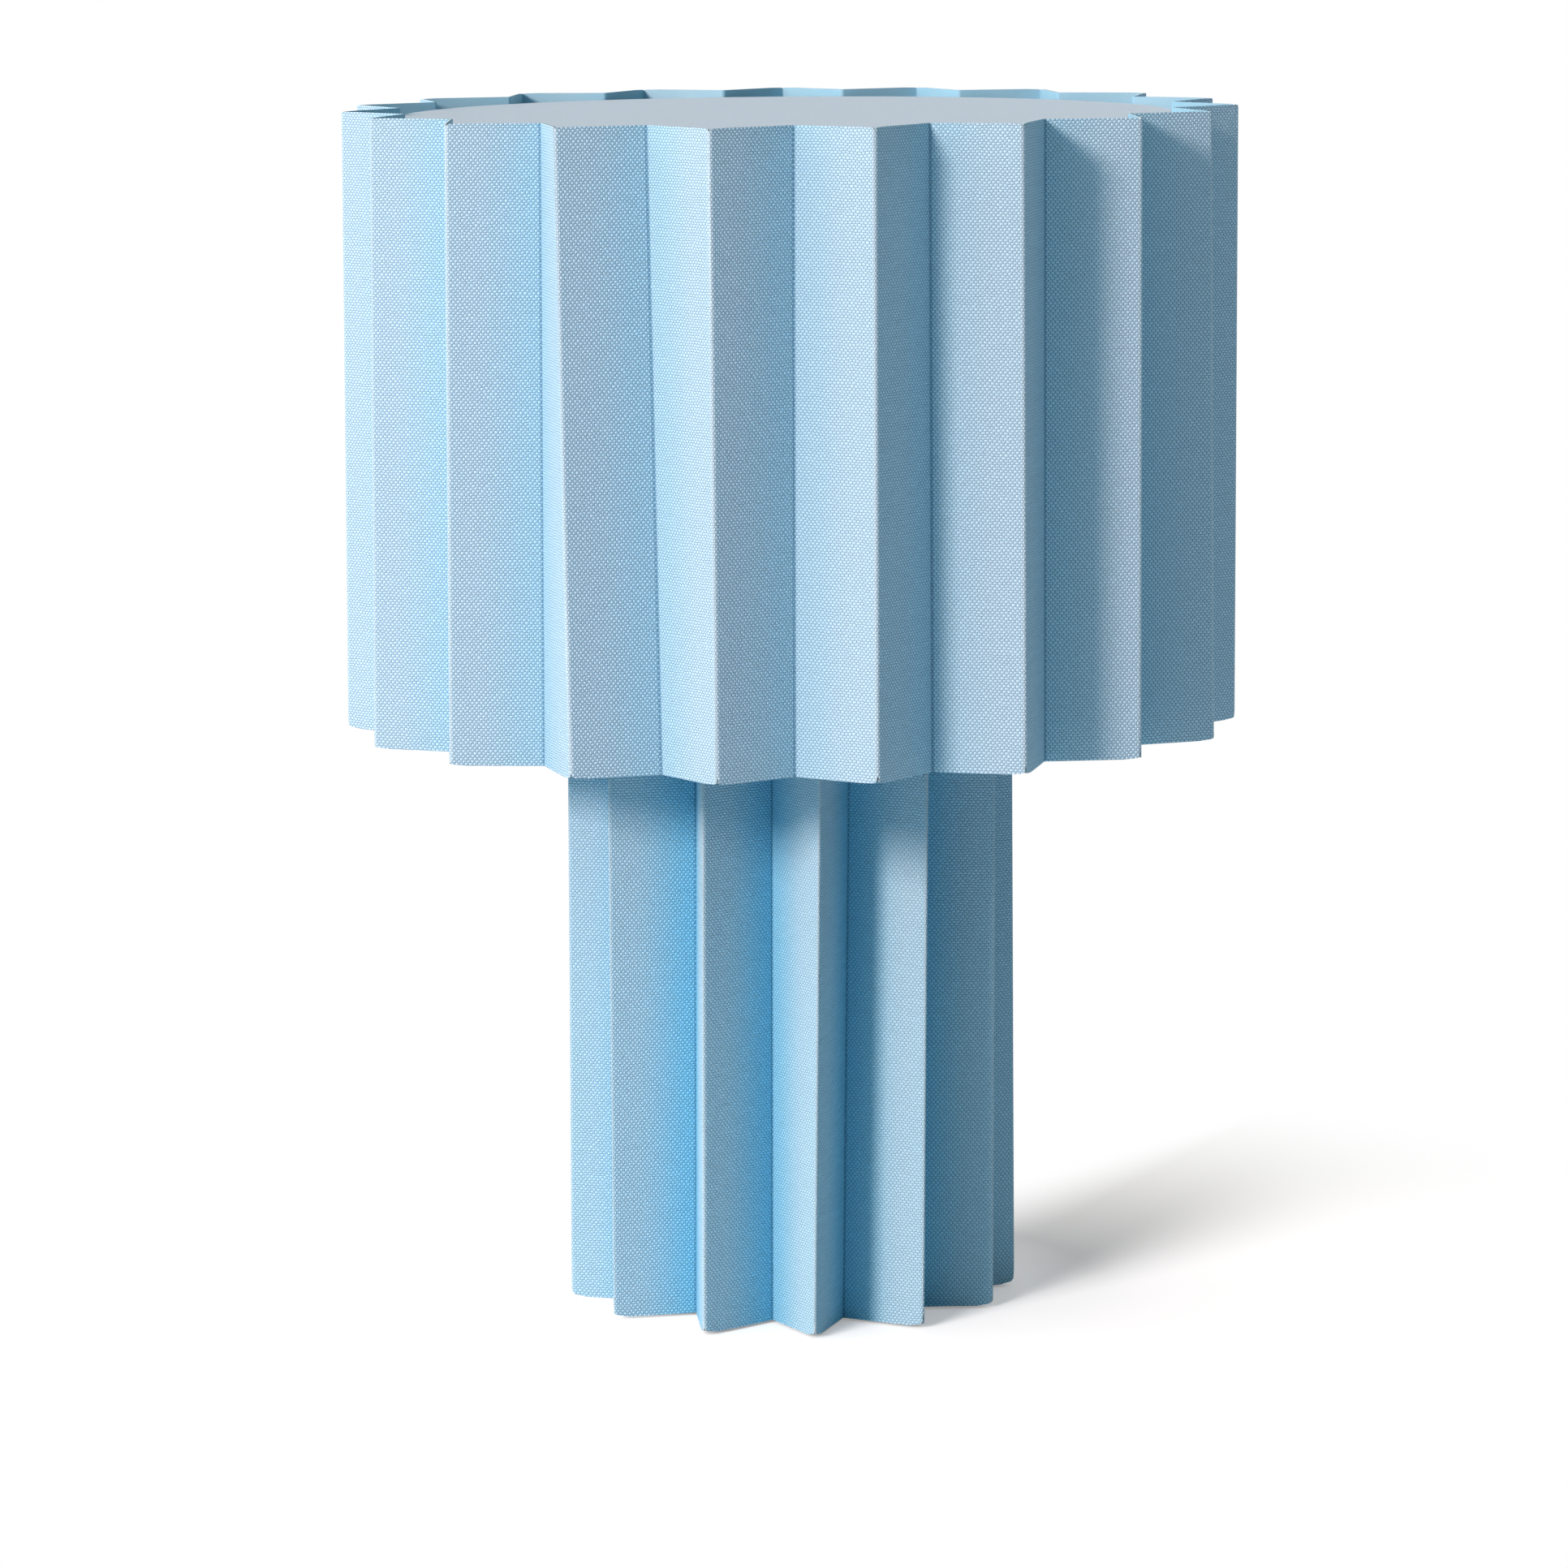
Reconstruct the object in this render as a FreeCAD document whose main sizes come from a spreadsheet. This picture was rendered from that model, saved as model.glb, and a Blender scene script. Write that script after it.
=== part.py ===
import FreeCAD, Part
import math
import os
import re
import Sketcher

# Pleated table lamp: a folded canvas shade over a folded canvas column.
# Millimetres, +Z up, origin on the table under the middle of the lamp.
# The front of the lamp looks along -Y.

Vector = FreeCAD.Vector
doc = FreeCAD.newDocument("pleated_table_lamp")
sheet = doc.addObject("Spreadsheet::Sheet", "sizes")

# Driving dimensions. Lengths in millimetres, angles in degrees.
SIZES = [
    # cloth shared by shade and base
    ("cloth_wall", 1.0, "thickness of the laminated canvas"),
    ("corner_round", 3.0, "rounding of each fold's corner at the rims"),
    ("fold_round", 0.6, "rounding along each outer fold"),
    # shade
    ("shade_radius", 160.2, "outer folds of the shade, before rounding"),
    ("shade_pleat_depth", 20.6, "outer fold to inner fold"),
    ("shade_pleat_count", 19, "pleats round the shade"),
    ("shade_turn_angle", 81.4, "direction of one inner fold, from +X"),
    ("shade_overlap", 15.2, "column top inside the shade"),
    ("bulb_headroom", 53.6, "bulb top to the top disc"),
    # top disc and shade wires
    ("lid_wall", 2.0, "top disc thickness"),
    ("lid_recess", 2.6, "top disc below the rim"),
    ("lid_gap", 0.5, "top disc to the inner folds"),
    ("wire_radius", 2.0, "ring and arm wire"),
    ("seat_gap", 0.3, "rest gap under a piece that lifts off"),
    ("glue_gap", 0.3, "glue line between cloth and what holds it"),
    ("ring_rise", 12.0, "lower ring above the shade's lower edge"),
    # base sleeve and its core
    ("base_radius", 82.8, "outer folds of the base, before rounding"),
    ("base_pleat_depth", 26.5, "outer fold to inner fold"),
    ("base_pleat_count", 13, "pleats round the base"),
    ("base_turn_angle", 96.3, "direction of the inner fold with the cord inlet, from +X"),
    ("base_lift", 1.0, "sleeve above the table"),
    ("base_height", 225.0, "sleeve height"),
    ("core_wall", 1.5, "rolled board tube"),
    ("core_recess", 3.0, "base top disc below the sleeve's upper edge"),
    ("core_disc_wall", 2.0, "steel disc that closes the core"),
    # foot
    ("felt_wall", 2.0, "felt thickness"),
    ("felt_inset", 1.5, "felt inside the weight's edge"),
    ("weight_height", 24.0, "cast iron weight"),
    ("weight_gap", 0.3, "weight to the core"),
    ("recess_radius", 14.0, "recess for nut and washer under the weight"),
    ("recess_spare", 1.5, "room left under the lower nut"),
    # threaded tube and its nuts
    ("tube_radius", 5.0, "M10 x 1 threaded tube"),
    ("tube_wall", 1.5, "threaded tube"),
    ("tube_gap", 0.2, "tube to the holes it passes"),
    ("thread_gap", 0.05, "thread to thread"),
    ("tube_proud", 1.0, "tube past the lower nut"),
    ("nut_reach", 8.7, "corner radius of the hexagon nuts"),
    ("nut_height", 4.0, "hexagon nuts"),
    ("washer_radius", 11.0, "washers"),
    ("washer_wall", 1.6, "washers"),
    ("stem_radius", 8.0, "spacer tube round the threaded tube"),
    ("stem_wall", 1.5, "spacer tube"),
    # cord inlet
    ("inlet_rise", 9.0, "inlet above the weight"),
    ("inlet_bore", 3.3, "bore radius for a 6 mm cord"),
    ("inlet_barrel", 4.6, "barrel radius"),
    ("inlet_flange", 6.5, "flange radius"),
    ("inlet_flange_wall", 2.0, "flange thickness"),
    ("inlet_reach", 3.0, "barrel past its nut"),
    ("inlet_nut_radius", 7.5, "round nut inside the core"),
    ("inlet_nut_wall", 3.0, "round nut inside the core"),
    ("inlet_gap", 0.1, "inlet to cloth, core and nut"),
    # lampholder
    ("insert_wall", 4.3, "ceramic round the screw shell"),
    ("holder_wall", 1.5, "plastic walls of the lampholder"),
    ("holder_neck_radius", 8.5, "neck round the threaded tube"),
    ("holder_neck_height", 8.0, "neck round the threaded tube"),
    ("holder_cap_height", 21.0, "lower cap"),
    ("holder_fit", 0.1, "insert in shell, screw shell in insert"),
    ("insert_floor", 8.0, "ceramic floor"),
    ("insert_drop", 2.0, "insert's rim below the shell's rim"),
    ("screw_shell_wall", 0.4, "metal screw shell"),
    ("contact_rise", 3.6, "centre contact above the ceramic floor"),
    ("contact_wall", 0.5, "centre contact strip"),
    ("contact_width", 6.0, "centre contact strip"),
    ("contact_run", 6.0, "length of each flat of the centre contact"),
    ("terminal_reach", 9.0, "terminal screws from the middle"),
    ("terminal_shank", 1.5, "terminal screw shank radius"),
    ("terminal_head", 2.8, "terminal screw head radius"),
    ("terminal_head_wall", 1.8, "terminal screw head"),
    ("terminal_depth", 5.0, "terminal screw in the ceramic"),
    ("lock_radius", 1.5, "grub screw in the neck"),
    ("lock_proud", 0.6, "grub screw out of the neck"),
    # carrier
    ("carrier_seat", 14.0, "seat ring above the lower end of the shell"),
    ("seat_ring_wall", 4.0, "ring under the carrier"),
    ("clamp_ring_wall", 6.0, "ring over the carrier"),
    ("clamp_ring_width", 8.7, "both rings, thread to edge"),
    ("hub_reach", 3.5, "carrier's hub past the rings"),
    ("hub_wall", 1.6, "carrier's hub"),
    ("hub_gap", 0.3, "hub round the lampholder"),
    ("face_gap", 0.05, "hub between its rings, button under the bulb"),
    ("weld_gap", 0.1, "arm end to hub edge"),
    ("carrier_turn_angle", 30.0, "direction of the first arm, from +X"),
    ("arm_count", 3, "arms of the carrier"),
    ("arm_drop", 20.0, "upright end of each arm"),
    ("arm_bend", 6.0, "bend radius of the arms"),
    ("arm_tip", 1.5, "arm past the middle of the ring it carries"),
    ("ring_play", 0.5, "lower ring to the upright of each arm"),
    # bulb
    ("button_radius", 4.8, "contact button"),
    ("button_wall", 1.6, "contact button"),
    ("insulator_foot", 6.0, "small end of the insulator"),
    ("insulator_head", 11.4, "large end of the insulator"),
    ("insulator_height", 4.5, "insulator"),
    ("bulb_cap_radius", 13.1, "E27 screw cap"),
    ("bulb_cap_wall", 0.5, "E27 screw cap"),
    ("bulb_cap_height", 24.0, "E27 screw cap"),
    ("bulb_cap_gap", 0.3, "cap in the screw shell"),
    ("collar_lip", 0.8, "collar past the cap"),
    ("collar_height", 38.0, "bulb's plastic collar"),
    ("collar_wall", 2.0, "bulb's plastic collar"),
    ("globe_radius", 30.0, "bulb's dome"),
    ("globe_sink", 13.0, "dome's middle above its lower edge"),
    ("globe_wall", 1.2, "bulb's dome"),
    ("light_board_wall", 1.6, "board with the light chips"),
    ("light_board_gap", 1.0, "board to the dome"),
    # cutting
    ("over", 5.0, "how far a cutter runs past the face it cuts"),
]

# Sizes that follow from the ones above.
DERIVED = {
    # base, from the table upwards
    "sleeve_top": "base_lift + base_height",
    "base_half_angle": "180 deg / base_pleat_count",
    "base_valley": "base_radius - base_pleat_depth",
    "base_fold_angle": "atan(base_valley * sin(base_half_angle)"
                       " / (base_radius - base_valley * cos(base_half_angle)))",
    "base_bore": "base_valley - cloth_wall / sin(base_fold_angle + base_half_angle)",
    "base_ridge_bore": "base_radius - cloth_wall / sin(base_fold_angle)",
    "core_radius": "base_bore - glue_gap",
    "core_bore": "core_radius - core_wall",
    "core_top": "sleeve_top - core_recess - core_disc_wall",
    "weight_foot": "felt_wall",
    "weight_top": "weight_foot + weight_height",
    "weight_radius": "core_bore - weight_gap",
    "recess_top": "weight_foot + recess_spare + tube_proud + nut_height + washer_wall",
    "disc_top": "core_top + core_disc_wall",
    "inlet_height": "weight_top + inlet_rise",
    "inlet_seat": "base_valley + inlet_flange / tan(base_fold_angle + base_half_angle) + glue_gap",
    "inlet_nut_face": "sqrt(core_bore ^ 2 - inlet_nut_radius ^ 2) - inlet_gap",
    "inlet_nut_back": "inlet_nut_face - inlet_nut_wall",
    # lampholder, from the base top upwards
    "holder_foot": "disc_top + washer_wall + nut_height",
    "screw_shell_bore": "bulb_cap_radius + bulb_cap_gap",
    "screw_shell_radius": "screw_shell_bore + screw_shell_wall",
    "shell_bore": "screw_shell_radius + insert_wall + holder_fit * 2",
    "holder_radius": "shell_bore + holder_wall",
    "shell_foot": "holder_foot + holder_cap_height",
    "insert_top": "shell_foot + insert_floor",
    "contact_top": "insert_top + contact_rise",
    # carrier
    "clamp_radius": "holder_radius + clamp_ring_width",
    "hub_radius": "clamp_radius + hub_reach",
    "seat_foot": "shell_foot + carrier_seat",
    "hub_foot": "seat_foot + seat_ring_wall + face_gap",
    "hub_top": "hub_foot + hub_wall",
    "clamp_foot": "hub_top + face_gap",
    "hub_bore": "holder_radius + hub_gap",
    "thread_bore": "holder_radius + thread_gap",
    # bulb, from its contact upwards
    "button_foot": "contact_top + seat_gap",
    "insulator_base": "button_foot + button_wall + face_gap",
    "bulb_cap_foot": "insulator_base + insulator_height",
    "collar_foot": "bulb_cap_foot + bulb_cap_height",
    "shell_top": "collar_foot - seat_gap",
    "globe_foot": "collar_foot + collar_height",
    "globe_neck": "sqrt(globe_radius ^ 2 - globe_sink ^ 2)",
    "globe_bore": "globe_radius - globe_wall",
    "globe_neck_bore": "sqrt(globe_bore ^ 2 - globe_sink ^ 2)",
    "bulb_top": "globe_foot + globe_sink + globe_radius",
    # shade
    "shade_foot": "sleeve_top - shade_overlap",
    "lid_foot": "bulb_top + bulb_headroom",
    "lid_top": "lid_foot + lid_wall",
    "shade_top": "lid_top + lid_recess",
    "shade_half_angle": "180 deg / shade_pleat_count",
    "shade_valley": "shade_radius - shade_pleat_depth",
    "shade_fold_angle": "atan(shade_valley * sin(shade_half_angle)"
                        " / (shade_radius - shade_valley * cos(shade_half_angle)))",
    "shade_bore": "shade_valley - cloth_wall / sin(shade_fold_angle + shade_half_angle)",
    "shade_ridge_bore": "shade_radius - cloth_wall / sin(shade_fold_angle)",
    "ring_radius": "shade_bore - glue_gap - wire_radius",
    "top_ring_height": "lid_foot - seat_gap - wire_radius",
    "low_ring_height": "shade_foot + ring_rise",
    # arms of the carrier
    "arm_start": "hub_radius + weld_gap",
    "arm_level": "hub_foot + hub_wall / 2",
    "arm_upright": "ring_radius - wire_radius * 2 - ring_play",
    "arm_foot": "low_ring_height - wire_radius * 2 - seat_gap",
    "arm_end": "ring_radius + arm_tip",
}

# Shares of the sizes that they follow
ARM_SHOULDER_SHARE = 0.6
TIP_BEND_SHARE = 0.9
FOLD_TOUCH_SHARE = 0.001

for row, (alias, number, note) in enumerate(SIZES, start=1):
    sheet.set(f"A{row}", note)
    sheet.set(f"B{row}", str(number))
    sheet.setAlias(f"B{row}", alias)
doc.recompute()

CELLS = {alias for alias, number, note in SIZES}
nodes = []


def formula(text):
    """Write out the derived sizes in a formula and point each name at its cell."""
    def spelled(match):
        word = match.group(0)
        if word in DERIVED:
            return "(" + formula(DERIVED[word]) + ")"
        return "sizes." + word if word in CELLS else word
    return re.sub(r"[a-z][a-z_]*", spelled, text)


def value(text):
    """A formula's number."""
    found = sheet.evalExpression(formula(text))
    return float(getattr(found, "Value", found))


def keep(piece, label):
    """Name a finished piece and list it as a node."""
    piece.Label = label
    nodes.append(piece)
    return piece


def new_body(label):
    return doc.addObject("PartDesign::Body", label)


def plane_sketch(body, role, name):
    """An empty sketch on one of the body's own origin planes."""
    sketch = body.newObject("Sketcher::SketchObject", name)
    plane = next(part for part in body.Origin.OriginFeatures if part.Role == role)
    sketch.AttachmentSupport = [(plane, "")]
    sketch.MapMode = "FlatFace"
    return sketch


def arc_between(start, end, radius, left):
    """An arc between two points, its middle to the left or right of the way."""
    half = (end - start) * 0.5
    rise = math.sqrt(max(radius ** 2 - half.Length ** 2, 0))
    side = Vector(-half.y, half.x, 0).normalize() * (rise if left else -rise)
    centre = start + half + side
    circle = Part.Circle(centre, Vector(0, 0, 1), radius)
    first, last = (start, end) if left else (end, start)
    return Part.ArcOfCircle(circle, circle.parameter(first), circle.parameter(last))


def draw_outline(sketch, points, arcs=None):
    """Draw a closed outline and bind every corner, and every arc's radius, to its sizes.

    points are pairs of formulas. arcs gives, for the corner that an arc starts from,
    the formula of its radius and whether its middle lies to the left of the way.
    """
    arcs = arcs or {}
    spots = [Vector(value(across), value(up), 0) for across, up in points]
    count = len(spots)
    shapes = []
    for index, spot in enumerate(spots):
        following = spots[(index + 1) % count]
        if index in arcs:
            radius, left = arcs[index]
            shapes.append(arc_between(spot, following, value(radius), left))
        else:
            shapes.append(Part.LineSegment(spot, following))
    sketch.addGeometry(shapes, False)

    def ends(index):
        """Which ends of an outline's piece are its start and its finish."""
        return (2, 1) if index in arcs and not arcs[index][1] else (1, 2)

    for index in range(count):
        following = (index + 1) % count
        sketch.addConstraint(Sketcher.Constraint(
            "Coincident", index, ends(index)[1], following, ends(following)[0]))
    for index, (across, up) in enumerate(points):
        corner = ends(index)[0]
        for kind, text, spot, axis in (("DistanceX", across, spots[index].x, -2),
                                       ("DistanceY", up, spots[index].y, -1)):
            if text == "0":
                sketch.addConstraint(Sketcher.Constraint("PointOnObject", index, corner, axis))
                continue
            bound = sketch.addConstraint(Sketcher.Constraint(kind, -1, 1, index, corner, spot))
            sketch.setExpression(f"Constraints[{bound}]", formula(text))
    for index, (radius, left) in arcs.items():
        bound = sketch.addConstraint(Sketcher.Constraint("Radius", index, value(radius)))
        sketch.setExpression(f"Constraints[{bound}]", formula(radius))
    return sketch


def turn_outline(body, label, points, arcs=None, kind="Revolution", axis="V_Axis"):
    """Revolve an outline of radius and height pairs in a body."""
    sketch = plane_sketch(body, "XZ_Plane", label + "_outline")
    draw_outline(sketch, points, arcs)
    feature = body.newObject("PartDesign::" + kind, label + "_turning")
    feature.Profile = sketch
    feature.ReferenceAxis = (sketch, [axis])
    feature.Angle = 360
    return feature


def turned_piece(label, points, arcs=None, axis="V_Axis"):
    """A piece that is a single body of revolution."""
    body = new_body(label)
    turn_outline(body, label, points, arcs, axis=axis)
    return keep(body, label)


def tube_points(bore, radius, foot, top):
    """The outline of a plain tube, washer or ring."""
    return [(bore, foot), (radius, foot), (radius, top), (bore, top)]


def radial_hole(body, label, height, radius, reach):
    """Drill from the body's axis outwards along +X."""
    sketch = plane_sketch(body, "YZ_Plane", label + "_hole_outline")
    circle = sketch.addGeometry(
        Part.Circle(Vector(0, value(height), 0), Vector(0, 0, 1), value(radius)), False)
    sketch.addConstraint(Sketcher.Constraint("PointOnObject", circle, 3, -2))
    rise = sketch.addConstraint(Sketcher.Constraint(
        "DistanceY", -1, 1, circle, 3, value(height)))
    sketch.setExpression(f"Constraints[{rise}]", formula(height))
    width = sketch.addConstraint(Sketcher.Constraint("Radius", circle, value(radius)))
    sketch.setExpression(f"Constraints[{width}]", formula(radius))
    doc.recompute()
    before = body.Shape.Volume
    hole = body.newObject("PartDesign::Pocket", label + "_hole")
    hole.Profile = sketch
    hole.setExpression("Length", formula(reach))
    hole.Reversed = True
    doc.recompute()
    if not body.Shape.Volume < before:
        raise RuntimeError(f"the hole in {label} cuts nothing")
    return hole


def face_towards(piece, angle):
    """Turn a finished piece about the lamp's axis."""
    piece.Placement = FreeCAD.Placement(
        Vector(0, 0, 0), FreeCAD.Rotation(Vector(0, 0, 1), value(angle)))
    piece.setExpression("Placement.Rotation.Angle", formula(angle + " * 1 deg"))


def pleated_piece(label, name, foot, top):
    """A ring of folded cloth, one pleat padded and repeated round the axis.

    name picks the sizes of shade or base. The first pleat has its inner fold on +X.
    """
    body = new_body(label)
    sketch = plane_sketch(body, "XY_Plane", label + "_pleat_outline")
    draw_outline(sketch, [
        (f"{name}_radius * cos({name}_half_angle)", f"-{name}_radius * sin({name}_half_angle)"),
        (f"{name}_valley", "0"),
        (f"{name}_radius * cos({name}_half_angle)", f"{name}_radius * sin({name}_half_angle)"),
        (f"{name}_ridge_bore * cos({name}_half_angle)",
         f"{name}_ridge_bore * sin({name}_half_angle)"),
        (f"{name}_bore", "0"),
        (f"{name}_ridge_bore * cos({name}_half_angle)",
         f"-{name}_ridge_bore * sin({name}_half_angle)"),
    ])
    sketch.setExpression("AttachmentOffset.Base.z", formula(foot))
    pad = body.newObject("PartDesign::Pad", label + "_pleat")
    pad.Profile = sketch
    pad.setExpression("Length", formula(f"{top} - ({foot})"))
    doc.recompute()
    ring = body.newObject("PartDesign::PolarPattern", label + "_pleats")
    ring.Originals = [pad]
    ring.Axis = (sketch, ["N_Axis"])
    ring.Angle = 360
    ring.setExpression("Occurrences", formula(f"{name}_pleat_count"))
    body.Tip = ring
    doc.recompute()

    # The outer folds are rounded along their whole length.
    radius = value(f"{name}_radius")
    folds = [
        f"Edge{number}" for number, edge in enumerate(ring.Shape.Edges, start=1)
        if all(abs(math.hypot(vertex.X, vertex.Y) - radius) < radius * FOLD_TOUCH_SHARE
               for vertex in edge.Vertexes)
        and abs(edge.Vertexes[0].Z - edge.Vertexes[-1].Z) > radius * FOLD_TOUCH_SHARE
    ]
    rounded = body.newObject("PartDesign::Fillet", label + "_rounded_folds")
    rounded.Base = (ring, folds)
    rounded.setExpression("Radius", formula("fold_round"))
    body.Tip = rounded
    doc.recompute()

    # The corners of the folds are rounded off at both rims.
    for end, edge, inwards, outwards in (("lower", foot, "+", "-"), ("upper", top, "-", "+")):
        left = end == "lower"
        turn_outline(body, f"{label}_{end}_corner", [
            (f"{name}_radius - corner_round", edge),
            (f"{name}_radius", f"{edge} {inwards} corner_round"),
            (f"{name}_radius + over", f"{edge} {inwards} corner_round"),
            (f"{name}_radius + over", f"{edge} {outwards} over"),
            (f"{name}_radius - corner_round", f"{edge} {outwards} over"),
        ], {0: ("corner_round", left)}, kind="Groove")
        doc.recompute()
    return body


# Base: the sleeve of folded canvas, and the board tube that it is glued to
base_pleats = pleated_piece("base_pleats", "base", "base_lift", "sleeve_top")
radial_hole(base_pleats, "base_pleats", "inlet_height", "inlet_barrel + inlet_gap",
            "inlet_seat + over")
face_towards(keep(base_pleats, "base_pleats"), "base_turn_angle")

base_core = turned_piece("base_core", tube_points(
    "core_bore", "core_radius", "base_lift", "core_top"))
radial_hole(base_core, "base_core", "inlet_height", "inlet_barrel + inlet_gap",
            "core_radius + over")
face_towards(base_core, "base_turn_angle")

turned_piece("base_top_disc", tube_points("tube_radius + tube_gap", "core_radius",
                                          "core_top", "disc_top"))

# Foot: felt under a cast iron weight with a recess for the lower nut
turned_piece("felt_pad", [("0", "0"), ("weight_radius - felt_inset", "0"),
                          ("weight_radius - felt_inset", "felt_wall"), ("0", "felt_wall")])
turned_piece("ballast_weight", [
    ("recess_radius", "weight_foot"),
    ("weight_radius", "weight_foot"),
    ("weight_radius", "weight_top"),
    ("tube_radius + tube_gap", "weight_top"),
    ("tube_radius + tube_gap", "recess_top"),
    ("recess_radius", "recess_top"),
])

# Threaded tube, spacer tube, washers and nuts that pull the base together
turned_piece("threaded_tube", tube_points(
    "tube_radius - tube_wall", "tube_radius",
    "weight_foot + recess_spare", "holder_foot + holder_neck_height"))
turned_piece("stem_tube", tube_points(
    "stem_radius - stem_wall", "stem_radius", "weight_top", "core_top"))
turned_piece("bottom_washer", tube_points(
    "tube_radius + tube_gap", "washer_radius", "recess_top - washer_wall", "recess_top"))
turned_piece("top_washer", tube_points(
    "tube_radius + tube_gap", "washer_radius", "disc_top", "disc_top + washer_wall"))


def hexagon_nut(label, foot):
    """A hexagon nut on the threaded tube."""
    block = doc.addObject("Part::Prism", label + "_block")
    block.Polygon = 6
    block.setExpression("Circumradius", formula("nut_reach"))
    block.setExpression("Height", formula("nut_height"))
    block.setExpression("Placement.Base.z", formula(foot))
    bore = doc.addObject("Part::Cylinder", label + "_bore")
    bore.setExpression("Radius", formula("tube_radius + thread_gap"))
    bore.setExpression("Height", formula("nut_height + over * 2"))
    bore.setExpression("Placement.Base.z", formula(f"{foot} - over"))
    nut = doc.addObject("Part::Cut", label)
    nut.Base = block
    nut.Tool = bore
    return keep(nut, label)


hexagon_nut("bottom_nut", "recess_top - washer_wall - nut_height")
hexagon_nut("top_nut", "disc_top + washer_wall")

# Cord inlet: a flanged plastic bush in the inner fold at the back, and its round nut
cord_inlet = turned_piece("cord_inlet", [
    ("inlet_nut_back - inlet_reach", "inlet_bore"),
    ("inlet_seat + inlet_flange_wall", "inlet_bore"),
    ("inlet_seat + inlet_flange_wall", "inlet_flange"),
    ("inlet_seat", "inlet_flange"),
    ("inlet_seat", "inlet_barrel"),
    ("inlet_nut_back - inlet_reach", "inlet_barrel"),
], axis="H_Axis")
inlet_nut = turned_piece("cord_inlet_nut", [
    ("inlet_nut_back", "inlet_barrel + thread_gap"),
    ("inlet_nut_face", "inlet_barrel + thread_gap"),
    ("inlet_nut_face", "inlet_nut_radius"),
    ("inlet_nut_back", "inlet_nut_radius"),
], axis="H_Axis")
for piece in (cord_inlet, inlet_nut):
    face_towards(piece, "base_turn_angle")
    piece.setExpression("Placement.Base.z", formula("inlet_height"))

# Lampholder: cap on the threaded tube, shell, ceramic insert with screw shell and contacts
holder_cap = turned_piece("holder_cap", [
    ("tube_radius + thread_gap", "holder_foot"),
    ("holder_neck_radius", "holder_foot"),
    ("holder_neck_radius", "holder_foot + holder_neck_height"),
    ("holder_radius", "shell_foot - holder_neck_height / 2"),
    ("holder_radius", "shell_foot"),
    ("holder_radius - holder_wall * 2", "shell_foot"),
    ("holder_radius - holder_wall * 2", "shell_foot - holder_neck_height / 2"),
    ("holder_neck_radius", "holder_foot + holder_neck_height + holder_wall * 2"),
    ("tube_radius + thread_gap", "holder_foot + holder_neck_height + holder_wall * 2"),
])
radial_hole(holder_cap, "holder_cap", "holder_foot + holder_neck_height / 2",
            "lock_radius + thread_gap", "holder_neck_radius + over")

turned_piece("holder_shell", tube_points("shell_bore", "holder_radius", "shell_foot", "shell_top"))
holder_insert = turned_piece("holder_insert", [
    ("0", "shell_foot"),
    ("shell_bore - holder_fit", "shell_foot"),
    ("shell_bore - holder_fit", "shell_top - insert_drop"),
    ("screw_shell_radius + holder_fit", "shell_top - insert_drop"),
    ("screw_shell_radius + holder_fit", "insert_top"),
    ("0", "insert_top"),
])
screw_holes = plane_sketch(holder_insert, "XY_Plane", "terminal_holes_outline")
for index, sign in enumerate(("-", "")):
    place = value(sign + "terminal_reach")
    screw_holes.addGeometry(Part.Circle(
        Vector(place, 0, 0), Vector(0, 0, 1), value("terminal_shank + thread_gap")), False)
    screw_holes.addConstraint(Sketcher.Constraint("PointOnObject", index, 3, -1))
    across = screw_holes.addConstraint(Sketcher.Constraint("DistanceX", -1, 1, index, 3, place))
    screw_holes.setExpression(f"Constraints[{across}]", formula(sign + "terminal_reach"))
    width = screw_holes.addConstraint(Sketcher.Constraint(
        "Radius", index, value("terminal_shank + thread_gap")))
    screw_holes.setExpression(f"Constraints[{width}]", formula("terminal_shank + thread_gap"))
screw_holes.setExpression("AttachmentOffset.Base.z", formula("shell_foot"))
doc.recompute()
undrilled = holder_insert.Shape.Volume
drilling = holder_insert.newObject("PartDesign::Pocket", "terminal_holes")
drilling.Profile = screw_holes
drilling.setExpression("Length", formula("terminal_depth - terminal_head_wall + holder_fit"))
drilling.Reversed = True
doc.recompute()
if not holder_insert.Shape.Volume < undrilled:
    raise RuntimeError("the terminal holes cut nothing")
turned_piece("thread_shell", tube_points(
    "screw_shell_bore", "screw_shell_radius", "insert_top", "shell_top - insert_drop"))

# Centre contact: a strip bent up into a spring under the bulb's button
strip_body = new_body("centre_contact")
strip_sketch = plane_sketch(strip_body, "XZ_Plane", "centre_contact_outline")
draw_outline(strip_sketch, [
    ("-contact_run / 2 - contact_run", "insert_top"),
    ("-contact_run / 2", "insert_top"),
    ("contact_run / 2", "contact_top - contact_wall"),
    ("contact_run", "contact_top - contact_wall"),
    ("contact_run", "contact_top"),
    ("contact_run / 2 - contact_wall / 2", "contact_top"),
    ("-contact_run / 2 - contact_wall / 2", "insert_top + contact_wall"),
    ("-contact_run / 2 - contact_run", "insert_top + contact_wall"),
])
strip = strip_body.newObject("PartDesign::Pad", "centre_contact_strip")
strip.Profile = strip_sketch
strip.Midplane = True
strip.setExpression("Length", formula("contact_width"))
keep(strip_body, "centre_contact")

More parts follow.
